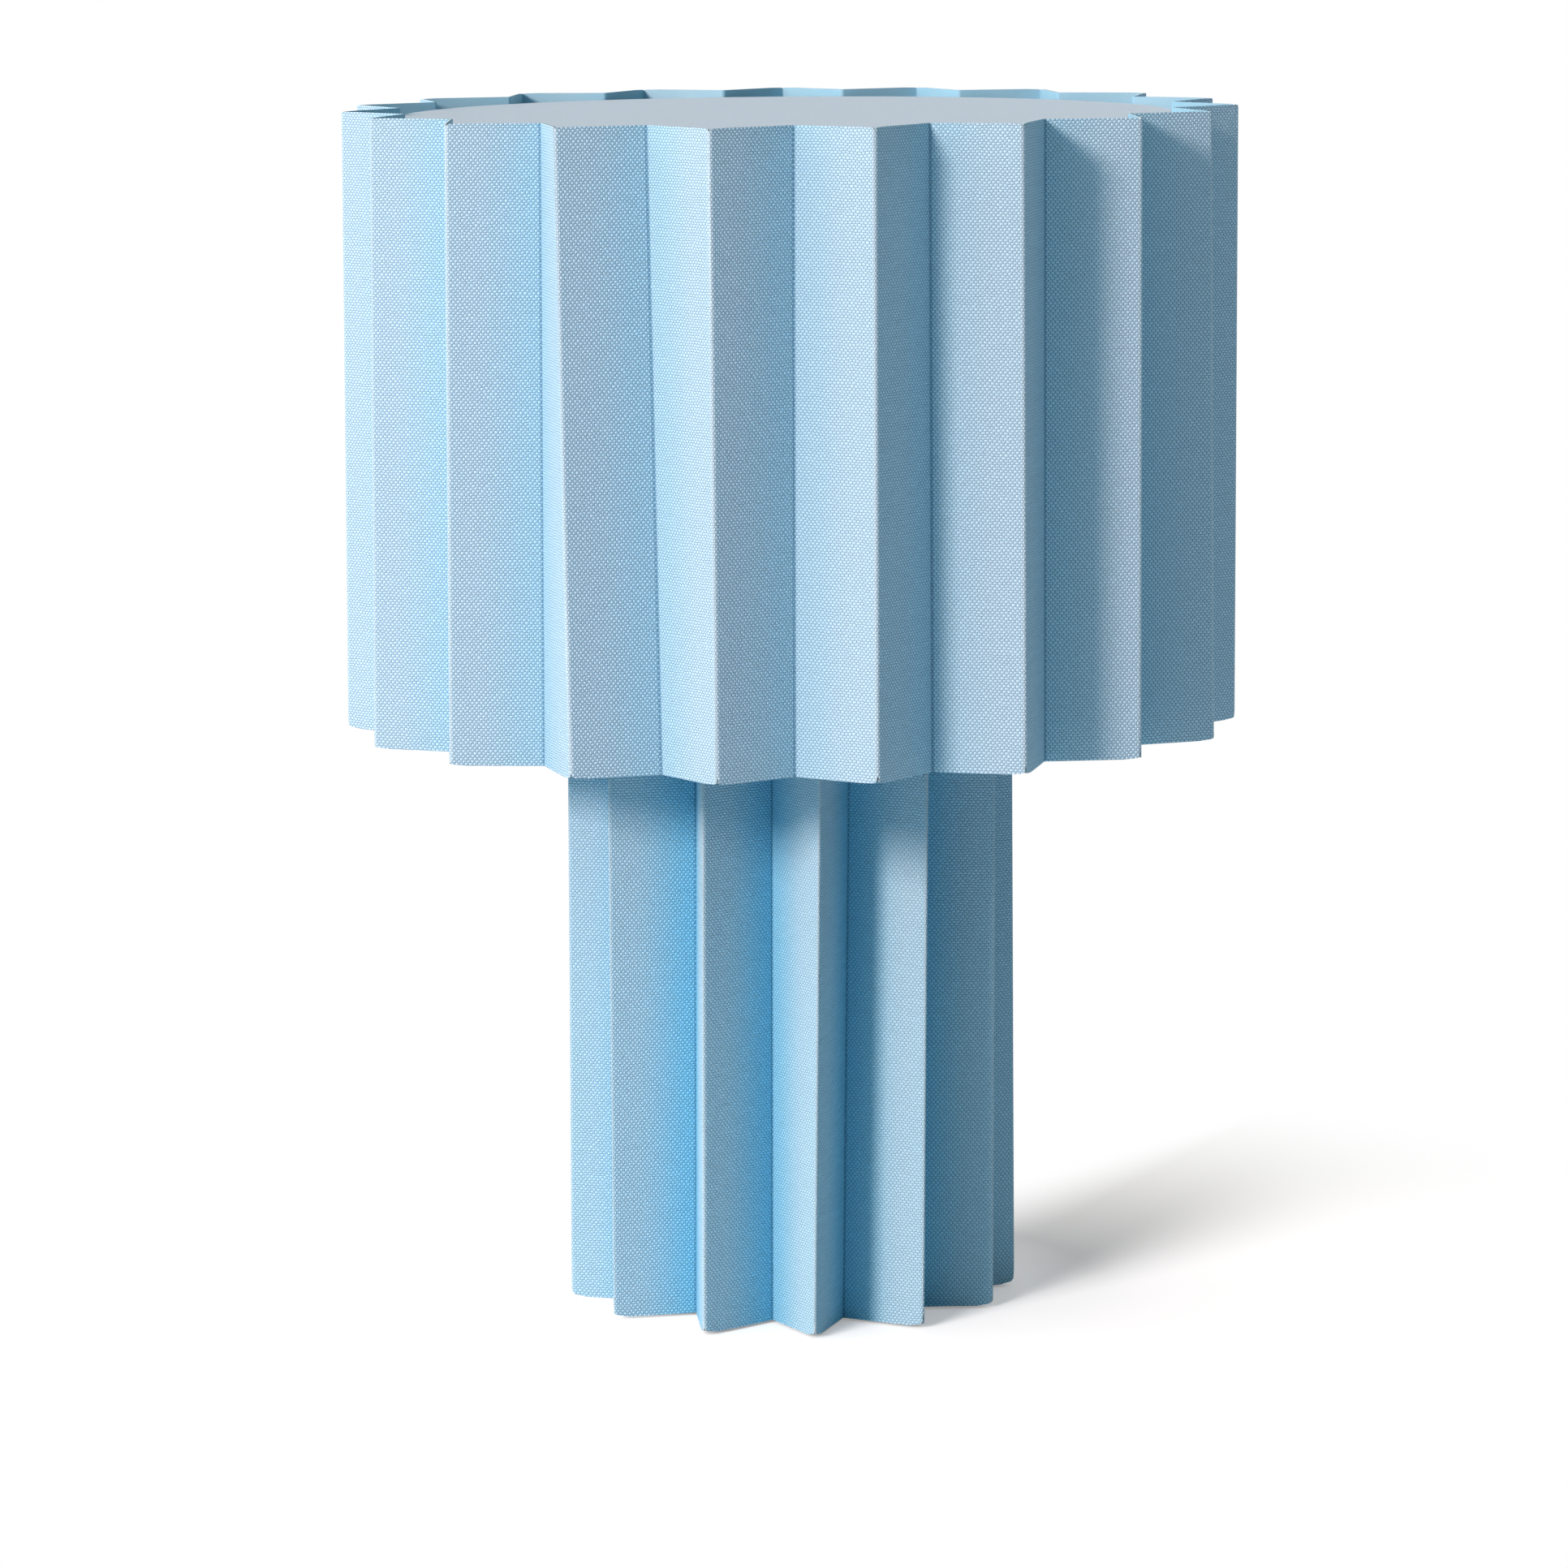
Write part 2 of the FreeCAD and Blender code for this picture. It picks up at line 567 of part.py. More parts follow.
# Terminal screws, turned into the ceramic from below
terminals = []
for side, sign in (("line", "-"), ("neutral", "")):
    head = doc.addObject("Part::Cylinder", side + "_head")
    head.setExpression("Radius", formula("terminal_head"))
    head.setExpression("Height", formula("terminal_head_wall"))
    shank = doc.addObject("Part::Cylinder", side + "_shank")
    shank.setExpression("Radius", formula("terminal_shank"))
    shank.setExpression("Height", formula("terminal_depth"))
    head.setExpression("Placement.Base.z", formula("shell_foot - terminal_head_wall"))
    shank.setExpression("Placement.Base.z", formula("shell_foot - terminal_head_wall"))
    for solid in (head, shank):
        solid.setExpression("Placement.Base.x", formula(sign + "terminal_reach"))
    screw = doc.addObject("Part::Fuse", side + "_screw")
    screw.Base = head
    screw.Tool = shank
    terminals.append(screw)
terminal_screws = doc.addObject("Part::Compound", "terminal_screws")
terminal_screws.Links = terminals
keep(terminal_screws, "terminal_screws")

# Grub screw that locks the cap on the threaded tube
lock_screw = doc.addObject("Part::Cylinder", "lock_screw")
lock_screw.setExpression("Radius", formula("lock_radius"))
lock_screw.setExpression("Height", formula(
    "holder_neck_radius + lock_proud - tube_radius - thread_gap"))
lock_screw.Placement.Rotation = FreeCAD.Rotation(Vector(0, 1, 0), 90)
lock_screw.setExpression("Placement.Base.x", formula("tube_radius + thread_gap"))
lock_screw.setExpression("Placement.Base.z", formula("holder_foot + holder_neck_height / 2"))
keep(lock_screw, "lock_screw")

# Rings that hold the carrier, and the carrier's hub between them
turned_piece("seat_ring", tube_points(
    "thread_bore", "clamp_radius", "seat_foot", "seat_foot + seat_ring_wall"))
turned_piece("clamp_ring", tube_points(
    "thread_bore", "clamp_radius", "clamp_foot", "clamp_foot + clamp_ring_wall"))
turned_piece("carrier_hub", tube_points("hub_bore", "hub_radius", "hub_foot", "hub_top"))


def bent_wire(corners, bend, radius):
    """A round wire along straight runs joined by tangent arcs."""
    edges = []
    start = corners[0]
    for before, corner, after in zip(corners, corners[1:], corners[2:]):
        back = (before - corner).normalize()
        ahead = (after - corner).normalize()
        half = back.getAngle(ahead) / 2
        run = bend / math.tan(half)
        middle = corner + (back + ahead).normalize() * (bend / math.sin(half) - bend)
        edges.append(Part.makeLine(start, corner + back * run))
        edges.append(Part.Arc(corner + back * run, middle, corner + ahead * run).toShape())
        start = corner + ahead * run
    edges.append(Part.makeLine(start, corners[-1]))
    path = Part.Wire(edges)
    section = Part.Wire(Part.makeCircle(radius, corners[0], corners[1] - corners[0]))
    return path.makePipeShell([section], True, False)


# Arms: wires from the hub out to a cradle under the shade's lower ring
upright = value("arm_upright")
arm_foot = value("arm_foot")
shoulder = value("arm_start") + (upright - value("arm_start")) * ARM_SHOULDER_SHARE
arm_corners = [
    Vector(value("arm_start"), 0, value("arm_level")),
    Vector(shoulder, 0, value("arm_level")),
    Vector(upright, 0, arm_foot + value("arm_drop")),
    Vector(upright, 0, arm_foot),
    Vector(value("arm_end"), 0, arm_foot),
]
arm_bend = min(value("arm_bend"), (value("arm_end") - upright) * TIP_BEND_SHARE)
arm_count = int(value("arm_count"))
for number in range(arm_count):
    arm = doc.addObject("Part::Feature", f"carrier_arm_{number + 1}")
    arm.Shape = bent_wire(arm_corners, arm_bend, value("wire_radius"))
    direction = value("carrier_turn_angle") + 360 / arm_count * number
    arm.Placement = FreeCAD.Placement(
        Vector(0, 0, 0), FreeCAD.Rotation(Vector(0, 0, 1), direction))
    keep(arm, f"carrier_arm_{number + 1}")

# Bulb: contact button, insulator, screw cap, collar, light board and dome
turned_piece("bulb_button", [
    ("0", "button_foot"), ("button_radius", "button_foot"),
    ("button_radius", "button_foot + button_wall"), ("0", "button_foot + button_wall")])
turned_piece("bulb_insulator", [
    ("0", "insulator_base"), ("insulator_foot", "insulator_base"),
    ("insulator_head", "bulb_cap_foot"), ("0", "bulb_cap_foot")])
turned_piece("bulb_cap", [
    ("insulator_head - bulb_cap_wall * 4", "bulb_cap_foot"),
    ("bulb_cap_radius", "bulb_cap_foot"),
    ("bulb_cap_radius", "collar_foot"),
    ("bulb_cap_radius - bulb_cap_wall", "collar_foot"),
    ("bulb_cap_radius - bulb_cap_wall", "bulb_cap_foot + bulb_cap_wall"),
    ("insulator_head - bulb_cap_wall * 4", "bulb_cap_foot + bulb_cap_wall"),
])
turned_piece("bulb_collar", [
    ("bulb_cap_radius - collar_wall", "collar_foot"),
    ("bulb_cap_radius + collar_lip", "collar_foot"),
    ("globe_neck", "globe_foot"),
    ("0", "globe_foot"),
    ("0", "globe_foot - collar_wall"),
    ("globe_neck - collar_wall * 2", "globe_foot - collar_wall"),
])
turned_piece("bulb_light_board", [
    ("0", "globe_foot"), ("globe_neck_bore - light_board_gap", "globe_foot"),
    ("globe_neck_bore - light_board_gap", "globe_foot + light_board_wall"),
    ("0", "globe_foot + light_board_wall")])
turned_piece("bulb_globe", [
    ("globe_neck", "globe_foot"),
    ("0", "bulb_top"),
    ("0", "bulb_top - globe_wall"),
    ("globe_neck_bore", "globe_foot"),
], {0: ("globe_radius", True), 2: ("globe_bore", False)})

# Shade: folded canvas, its two wire rings and the disc that lies on the upper one
shade_pleats = pleated_piece("shade_pleats", "shade", "shade_foot", "shade_top")
face_towards(keep(shade_pleats, "shade_pleats"), "shade_turn_angle")
for label, height in (("shade_top_ring", "top_ring_height"),
                      ("shade_bottom_ring", "low_ring_height")):
    ring = doc.addObject("Part::Torus", label)
    ring.setExpression("Radius1", formula("ring_radius"))
    ring.setExpression("Radius2", formula("wire_radius"))
    ring.setExpression("Placement.Base.z", formula(height))
    keep(ring, label)
turned_piece("top_disc", [
    ("0", "lid_foot"), ("shade_bore - lid_gap", "lid_foot"),
    ("shade_bore - lid_gap", "lid_top"), ("0", "lid_top")])

# Check every feature and every piece, then write one file for each piece
doc.recompute()
for item in doc.Objects:
    if {"Invalid", "Error"} & set(item.State):
        raise RuntimeError(f"{item.Label} did not build: {item.State}")
os.makedirs("parts", exist_ok=True)
for piece in nodes:
    shape = piece.Shape
    if shape.isNull() or not shape.isValid() or not shape.Solids:
        raise RuntimeError(f"{piece.Label} is not a valid solid")
    shape.exportStep(f"parts/{piece.Label}.step")
    print(f"{piece.Label}: {len(shape.Solids)} solid, {shape.Volume:.1f} mm3")
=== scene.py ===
import math
import random

import bpy
from mathutils import Matrix, Vector


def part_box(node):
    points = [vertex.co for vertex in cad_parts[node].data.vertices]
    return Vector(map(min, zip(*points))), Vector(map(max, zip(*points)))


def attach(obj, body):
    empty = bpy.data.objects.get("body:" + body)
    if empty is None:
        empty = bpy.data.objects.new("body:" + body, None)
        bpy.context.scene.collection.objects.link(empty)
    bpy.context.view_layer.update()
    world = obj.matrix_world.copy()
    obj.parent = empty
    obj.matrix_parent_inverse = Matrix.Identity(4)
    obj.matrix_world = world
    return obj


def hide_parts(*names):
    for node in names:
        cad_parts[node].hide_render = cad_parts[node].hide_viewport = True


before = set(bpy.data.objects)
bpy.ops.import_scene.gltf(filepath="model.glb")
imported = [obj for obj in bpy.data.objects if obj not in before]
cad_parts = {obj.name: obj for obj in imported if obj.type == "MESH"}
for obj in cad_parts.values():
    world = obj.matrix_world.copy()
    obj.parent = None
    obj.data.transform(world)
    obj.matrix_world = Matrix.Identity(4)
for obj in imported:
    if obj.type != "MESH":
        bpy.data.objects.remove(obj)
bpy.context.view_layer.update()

# Base sleeve
# Plain-weave canvas laminated on a stiff backing, scored and folded into thirteen pleats,
# joined into a ring and glued by its inner folds to the board tube inside it.
MM = 0.001
BASE_PLEATS = 13
BASE_OUTER_FOLD = 82.8 * MM
BASE_INNER_FOLD = 56.3 * MM
BASE_OUTER_BEND = 2.3 * MM
BASE_RIM_ROUND = 5.0 * MM
BASE_FIRST_FOLD_FOOT = -77.9
BASE_FIRST_FOLD_TOP = -75.6
BASE_OFF_CENTRE = -1.0 * MM
CLOTH_WALL = 1.0 * MM
INNER_BEND = 0.4 * MM
PANEL_COLUMNS = 10
BEND_COLUMNS = 2.0
CLOTH_ROWS = 14
PANEL_BOW = 0.35 * MM
BOW_STEP = 3.7
BOW_SPREAD = 2.0
TOP_ROUND_SHARE = 0.35
MERGE_GAP = 0.01 * MM

# How far hand-folded pleats stray from an even ring, in mm: along the ring at foot and top,
# then outwards at foot and top. Even numbers are outer folds, counted from the left. A fold
# that isn't listed strays along the ring alone, at random, by up to LOOSE_STRAY.
BASE_STRAYS = {
    0: (0.0, 0.0, 0.7, 0.0),
    2: (-2.7, -5.4, 0.0, 0.0),
    3: (-1.9, -1.4, 0.0, 0.0),
    4: (-0.5, -2.0, 0.0, 0.0),
    5: (1.1, 0.4, 0.0, 0.0),
    6: (0.3, 0.4, 0.0, 0.0),
    7: (-0.5, 1.0, 0.0, 0.0),
    8: (2.5, 2.5, 0.0, 0.0),
    10: (3.6, 0.8, -0.8, 0.6),
    12: (0.0, 0.0, -0.7, -1.0),
}
LOOSE_STRAY = 0.9


def linear(code):
    """An sRGB hex colour as linear red, green, blue and alpha."""
    parts = [int(code[start:start + 2], 16) / 255 for start in (1, 3, 5)]
    return (*(p / 12.92 if p <= 0.04045 else ((p + 0.055) / 1.055) ** 2.4 for p in parts), 1.0)


def add(tree, kind, links=None, out=0, **settings):
    """Add a node with its settings, values and links, and give back one of its outputs."""
    node = tree.nodes.new(kind)
    for name, setting in settings.items():
        setattr(node, name, setting)
    for socket, source in (links or {}).items():
        if isinstance(source, bpy.types.NodeSocket):
            tree.links.new(source, node.inputs[socket])
        else:
            node.inputs[socket].default_value = source
    return node.outputs[out] if len(node.outputs) else node


def fold_lines(name, pleats, radii, heights, firsts, strays, seed, off_centre=0.0):
    """An object with one edge for each fold, from foot to top, and the cloth's run up to it."""
    chance = random.Random(seed)
    points = []
    for number in range(pleats * 2):
        loose = [chance.uniform(-LOOSE_STRAY, LOOSE_STRAY) for end in heights]
        stray = [size * MM for size in strays.get(number, (*loose, 0.0, 0.0))]
        for end, height in enumerate(heights):
            radius = radii[number % 2] + stray[end + 2]
            angle = math.radians(firsts[end] + 180 / pleats * number) + stray[end] / radius
            points.append((off_centre + radius * math.sin(angle), -radius * math.cos(angle), height))
    mesh = bpy.data.meshes.new(name)
    mesh.from_pydata(points, [(start, start + 1) for start in range(0, len(points), 2)], [])
    runs = [0.0]
    for start in range(0, len(points) - 2, 2):
        widths = [math.dist(points[start + end], points[start + 2 + end]) for end in (0, 1)]
        runs.append(runs[-1] + sum(widths) / 2)
    run = mesh.attributes.new("run", "FLOAT", "POINT")
    for index, item in enumerate(run.data):
        item.value = runs[index // 2]
    lines = bpy.data.objects.new(name, mesh)
    bpy.context.scene.collection.objects.link(lines)
    return lines


def folding_tree():
    """Geometry Nodes that fold a flat grid of cloth along the lines of the object they run on."""
    tree = bpy.data.node_groups.new("fold_canvas", "GeometryNodeTree")
    for name, kind in (("Geometry", "Geometry"), ("Panels", "Int"), ("Panel Columns", "Int"),
                       ("Rows", "Int"), ("Outer Bend", "Float"), ("Inner Bend", "Float"),
                       ("Rim Round", "Float"), ("Bow", "Float"), ("Merge Gap", "Float"),
                       ("Seed", "Int"), ("Canvas", "Material")):
        tree.interface.new_socket(name, in_out="INPUT", socket_type="NodeSocket" + kind)
    tree.interface.new_socket("Geometry", in_out="OUTPUT", socket_type="NodeSocketGeometry")
    given = tree.nodes.new("NodeGroupInput").outputs

    # The flat cloth, a unit grid whose columns run round the ring and rows up it
    columns = add(tree, "ShaderNodeMath", {0: given["Panels"], 1: given["Panel Columns"]},
                  operation="MULTIPLY")
    flat = add(tree, "GeometryNodeMeshGrid", {
        "Size X": 1.0, "Size Y": 1.0,
        "Vertices X": add(tree, "ShaderNodeMath", {0: columns, 1: 1.0}),
        "Vertices Y": add(tree, "ShaderNodeMath", {0: given["Rows"], 1: 1.0})})
    along = add(tree, "ShaderNodeSeparateXYZ", {0: add(tree, "GeometryNodeInputPosition")})
    level = add(tree, "ShaderNodeMath", {0: along.node.outputs["Y"], 1: 0.5})
    column = add(tree, "ShaderNodeMath", {
        0: add(tree, "ShaderNodeMath", {
            0: add(tree, "ShaderNodeMath", {0: along, 1: 0.5}), 1: columns},
            operation="MULTIPLY")}, operation="ROUND")

    # Which panel a point is on, and how many columns it lies in from that panel's first fold
    last_panel = add(tree, "ShaderNodeMath", {0: given["Panels"], 1: 1.0}, operation="SUBTRACT")
    panel = add(tree, "ShaderNodeMath", {
        0: add(tree, "ShaderNodeMath", {
            0: add(tree, "ShaderNodeMath", {0: column, 1: given["Panel Columns"]},
                   operation="DIVIDE")}, operation="FLOOR"),
        1: last_panel}, operation="MINIMUM")
    step = add(tree, "ShaderNodeMath", {
        0: column,
        1: add(tree, "ShaderNodeMath", {0: panel, 1: given["Panel Columns"]},
               operation="MULTIPLY")}, operation="SUBTRACT")
    half_columns = add(tree, "ShaderNodeMath", {0: given["Panel Columns"], 1: 2.0},
                       operation="DIVIDE")
    late = add(tree, "ShaderNodeMath", {0: step, 1: half_columns}, operation="GREATER_THAN")
    steps_in = add(tree, "ShaderNodeMath", {
        0: step,
        1: add(tree, "ShaderNodeMath", {0: given["Panel Columns"], 1: step},
               operation="SUBTRACT")}, operation="MINIMUM")

    # The panel's own two folds at the point's level, with the fold before and the fold after
    spots = []
    for offset in (-1, 0, 1, 2):
        fold = add(tree, "ShaderNodeMath", {
            0: add(tree, "ShaderNodeMath", {
                0: add(tree, "ShaderNodeMath", {0: panel, 1: offset}), 1: given["Panels"]}),
            1: given["Panels"]}, operation="FLOORED_MODULO")
        foot, top = [add(tree, "GeometryNodeSampleIndex", {
            "Geometry": given["Geometry"],
            "Value": add(tree, "GeometryNodeInputPosition"),
            "Index": add(tree, "ShaderNodeMath", {0: fold, 1: 2.0, 2: end},
                         operation="MULTIPLY_ADD")}, data_type="FLOAT_VECTOR")
            for end in (0.0, 1.0)]
        spots.append(add(tree, "ShaderNodeMix", {0: level, 4: foot, 5: top}, out=1,
                         data_type="VECTOR"))
    before, first, second, after = spots
    near, far, beyond = [
        add(tree, "ShaderNodeMix", {0: late, 4: early_spot, 5: late_spot}, out=1,
            data_type="VECTOR")
        for early_spot, late_spot in ((first, second), (second, first), (before, after))]

    # The cloth bends round each fold on a parabola, over the columns next to it, and tighter at
    # the inner folds
    near_inner = add(tree, "ShaderNodeMath", {
        0: add(tree, "ShaderNodeMath", {0: panel, 1: late}), 1: 2.0}, operation="MODULO")
    bend = add(tree, "ShaderNodeMix", {
        0: near_inner, 2: given["Outer Bend"], 3: given["Inner Bend"]})
    width = add(tree, "ShaderNodeVectorMath", {0: first, 1: second}, out="Value",
                operation="DISTANCE")
    in_bend = add(tree, "ShaderNodeMath", {
        0: add(tree, "ShaderNodeMath", {0: steps_in, 1: BEND_COLUMNS}, operation="MINIMUM"),
        1: BEND_COLUMNS}, operation="DIVIDE")
    flat_steps = add(tree, "ShaderNodeMath", {0: half_columns, 1: BEND_COLUMNS},
                     operation="SUBTRACT")
    in_flat = add(tree, "ShaderNodeMath", {
        0: add(tree, "ShaderNodeMath", {
            0: add(tree, "ShaderNodeMath", {0: steps_in, 1: BEND_COLUMNS},
                   operation="SUBTRACT"),
            1: 0.0}, operation="MAXIMUM"),
        1: flat_steps}, operation="DIVIDE")
    flat_run = add(tree, "ShaderNodeMath", {
        0: add(tree, "ShaderNodeMath", {0: width, 1: 2.0}, operation="DIVIDE"), 1: bend},
        operation="SUBTRACT")
    reach = add(tree, "ShaderNodeMath", {
        0: in_flat, 1: flat_run,
        2: add(tree, "ShaderNodeMath", {0: in_bend, 1: bend}, operation="MULTIPLY")},
        operation="MULTIPLY_ADD")
    share = add(tree, "ShaderNodeMath", {0: reach, 1: bend}, operation="DIVIDE")
    held = add(tree, "ShaderNodeMath", {0: share, 1: 1.0}, operation="MINIMUM")
    pulls = []
    for sign in (0.5, -0.5):
        half = add(tree, "ShaderNodeMath", {0: held, 1: sign, 2: 0.5}, operation="MULTIPLY_ADD")
        pulls.append(add(tree, "ShaderNodeMath", {0: half, 1: half}, operation="MULTIPLY"))
    own_pull = add(tree, "ShaderNodeMath", {
        0: pulls[0],
        1: add(tree, "ShaderNodeMath", {0: share, 1: held}, operation="SUBTRACT")})
    point = near
    for target, pull in ((far, own_pull), (beyond, pulls[1])):
        way = add(tree, "ShaderNodeVectorMath", {
            0: add(tree, "ShaderNodeVectorMath", {0: target, 1: near}, operation="SUBTRACT")},
            operation="NORMALIZE")
        point = add(tree, "ShaderNodeVectorMath", {
            0: way,
            1: add(tree, "ShaderNodeMath", {0: pull, 1: bend}, operation="MULTIPLY"),
            2: point}, operation="MULTIPLY_ADD")

    # Each panel bows a little, by an amount of its own that drifts with height: panels lie far
    # apart in the noise, whose values keep near its middle and so are spread out round nought
    from_first = add(tree, "ShaderNodeMix", {
        0: late, 2: reach,
        3: add(tree, "ShaderNodeMath", {0: width, 1: reach}, operation="SUBTRACT")})
    part = add(tree, "ShaderNodeMath", {0: from_first, 1: width}, operation="DIVIDE")
    hump = add(tree, "ShaderNodeMath", {
        0: add(tree, "ShaderNodeMath", {0: part, 1: math.pi}, operation="MULTIPLY")},
        operation="SINE")
    drift = add(tree, "ShaderNodeTexNoise", {
        0: add(tree, "ShaderNodeCombineXYZ", {
            0: add(tree, "ShaderNodeMath", {0: panel, 1: BOW_STEP}, operation="MULTIPLY"),
            1: level, 2: given["Seed"]}),
        "Scale": 1.0, "Detail": 1.0})
    bow = add(tree, "ShaderNodeMath", {
        0: add(tree, "ShaderNodeMath", {
            0: add(tree, "ShaderNodeMath", {0: drift, 1: 2 * BOW_SPREAD, 2: -BOW_SPREAD},
                   operation="MULTIPLY_ADD"),
            1: given["Bow"]}, operation="MULTIPLY"),
        1: hump}, operation="MULTIPLY")
    facing = add(tree, "ShaderNodeVectorMath", {
        0: add(tree, "ShaderNodeVectorMath", {
            0: add(tree, "ShaderNodeVectorMath", {0: second, 1: first}, operation="SUBTRACT"),
            1: (0.0, 0.0, 1.0)}, operation="CROSS_PRODUCT")}, operation="NORMALIZE")
    point = add(tree, "ShaderNodeVectorMath", {0: facing, 1: bow, 2: point},
                operation="MULTIPLY_ADD")

    # The corner of each outer fold is rounded off at both rims, less at the top
    ends_outer = add(tree, "ShaderNodeMath", {0: panel, 1: 2.0}, operation="MODULO")
    to_fold = add(tree, "ShaderNodeMix", {
        0: ends_outer, 2: from_first,
        3: add(tree, "ShaderNodeMath", {0: width, 1: from_first}, operation="SUBTRACT")})
    inside = add(tree, "ShaderNodeMath", {
        0: add(tree, "ShaderNodeMath", {0: given["Rim Round"], 1: to_fold},
               operation="SUBTRACT"), 1: 0.0}, operation="MAXIMUM")
    squares = [add(tree, "ShaderNodeMath", {0: size, 1: 2.0}, operation="POWER")
               for size in (given["Rim Round"], inside)]
    dip = add(tree, "ShaderNodeMath", {
        0: given["Rim Round"],
        1: add(tree, "ShaderNodeMath", {
            0: add(tree, "ShaderNodeMath", {0: squares[0], 1: squares[1]},
                   operation="SUBTRACT")}, operation="SQRT")}, operation="SUBTRACT")
    lift = add(tree, "ShaderNodeMath", {
        0: dip,
        1: add(tree, "ShaderNodeMath", {0: level, 1: -1.0 - TOP_ROUND_SHARE, 2: 1.0},
               operation="MULTIPLY_ADD")}, operation="MULTIPLY")
    point = add(tree, "ShaderNodeVectorMath", {
        0: point, 1: add(tree, "ShaderNodeCombineXYZ", {2: lift})})

    # The weave follows the cloth, in metres round the ring and up it, and the painted highlight and
    # shade follow how far a point is from its panel's outer fold and from its valley
    run = add(tree, "ShaderNodeMath", {
        0: add(tree, "GeometryNodeSampleIndex", {
            "Geometry": given["Geometry"],
            "Value": add(tree, "GeometryNodeInputNamedAttribute", {"Name": "run"},
                         data_type="FLOAT"),
            "Index": add(tree, "ShaderNodeMath", {0: panel, 1: 2.0}, operation="MULTIPLY")},
            data_type="FLOAT"),
        1: from_first})
    height = add(tree, "ShaderNodeSeparateXYZ", {0: point}, out="Z")
    cloth = add(tree, "GeometryNodeStoreNamedAttribute", {
        "Geometry": flat, "Name": "UVMap",
        "Value": add(tree, "ShaderNodeCombineXYZ", {0: run, 1: height})},
        data_type="FLOAT2", domain="CORNER")
    to_valley = add(tree, "ShaderNodeMath", {0: width, 1: to_fold}, operation="SUBTRACT")
    for name, distance in (("to_fold", to_fold), ("to_valley", to_valley)):
        cloth = add(tree, "GeometryNodeStoreNamedAttribute", {
            "Geometry": cloth, "Name": name, "Value": distance},
            data_type="FLOAT", domain="POINT")
    cloth = add(tree, "GeometryNodeSetPosition", {"Geometry": cloth, "Position": point})
    cloth = add(tree, "GeometryNodeMergeByDistance", {
        "Geometry": cloth, "Distance": given["Merge Gap"]})
    cloth = add(tree, "GeometryNodeRealizeInstances", {"Geometry": cloth})
    cloth = add(tree, "GeometryNodeSetMaterial", {
        "Geometry": cloth, "Material": given["Canvas"]})
    tree.links.new(cloth, tree.nodes.new("NodeGroupOutput").inputs["Geometry"])
    return tree


def settle(piece):
    """Turn a piece and its modifiers into one plain mesh."""
    view = bpy.context.evaluated_depsgraph_get()
    mesh = bpy.data.meshes.new_from_object(
        piece.evaluated_get(view), preserve_all_data_layers=True, depsgraph=view)
    piece.modifiers.clear()
    piece.data = mesh
    mesh.name = piece.name
    return piece


def run_tree(piece, tree, sizes):
    """Run a Geometry Nodes tree on a piece with these named inputs."""
    modifier = piece.modifiers.new(tree.name, "NODES")
    modifier.node_group = tree
    for item in tree.interface.items_tree:
        if item.in_out == "INPUT" and item.name in sizes:
            modifier[item.identifier] = sizes[item.name]
    return settle(piece)


def new_finish(name, **sockets):
    """A material with a Principled shader, its plain sockets set."""
    finish = bpy.data.materials.new(name)
    finish.use_nodes = True
    shader = finish.node_tree.nodes["Principled BSDF"]
    for socket, number in sockets.items():
        shader.inputs[socket.replace("_", " ").title().replace("Ior", "IOR")].default_value = number
    return finish.node_tree, shader, finish


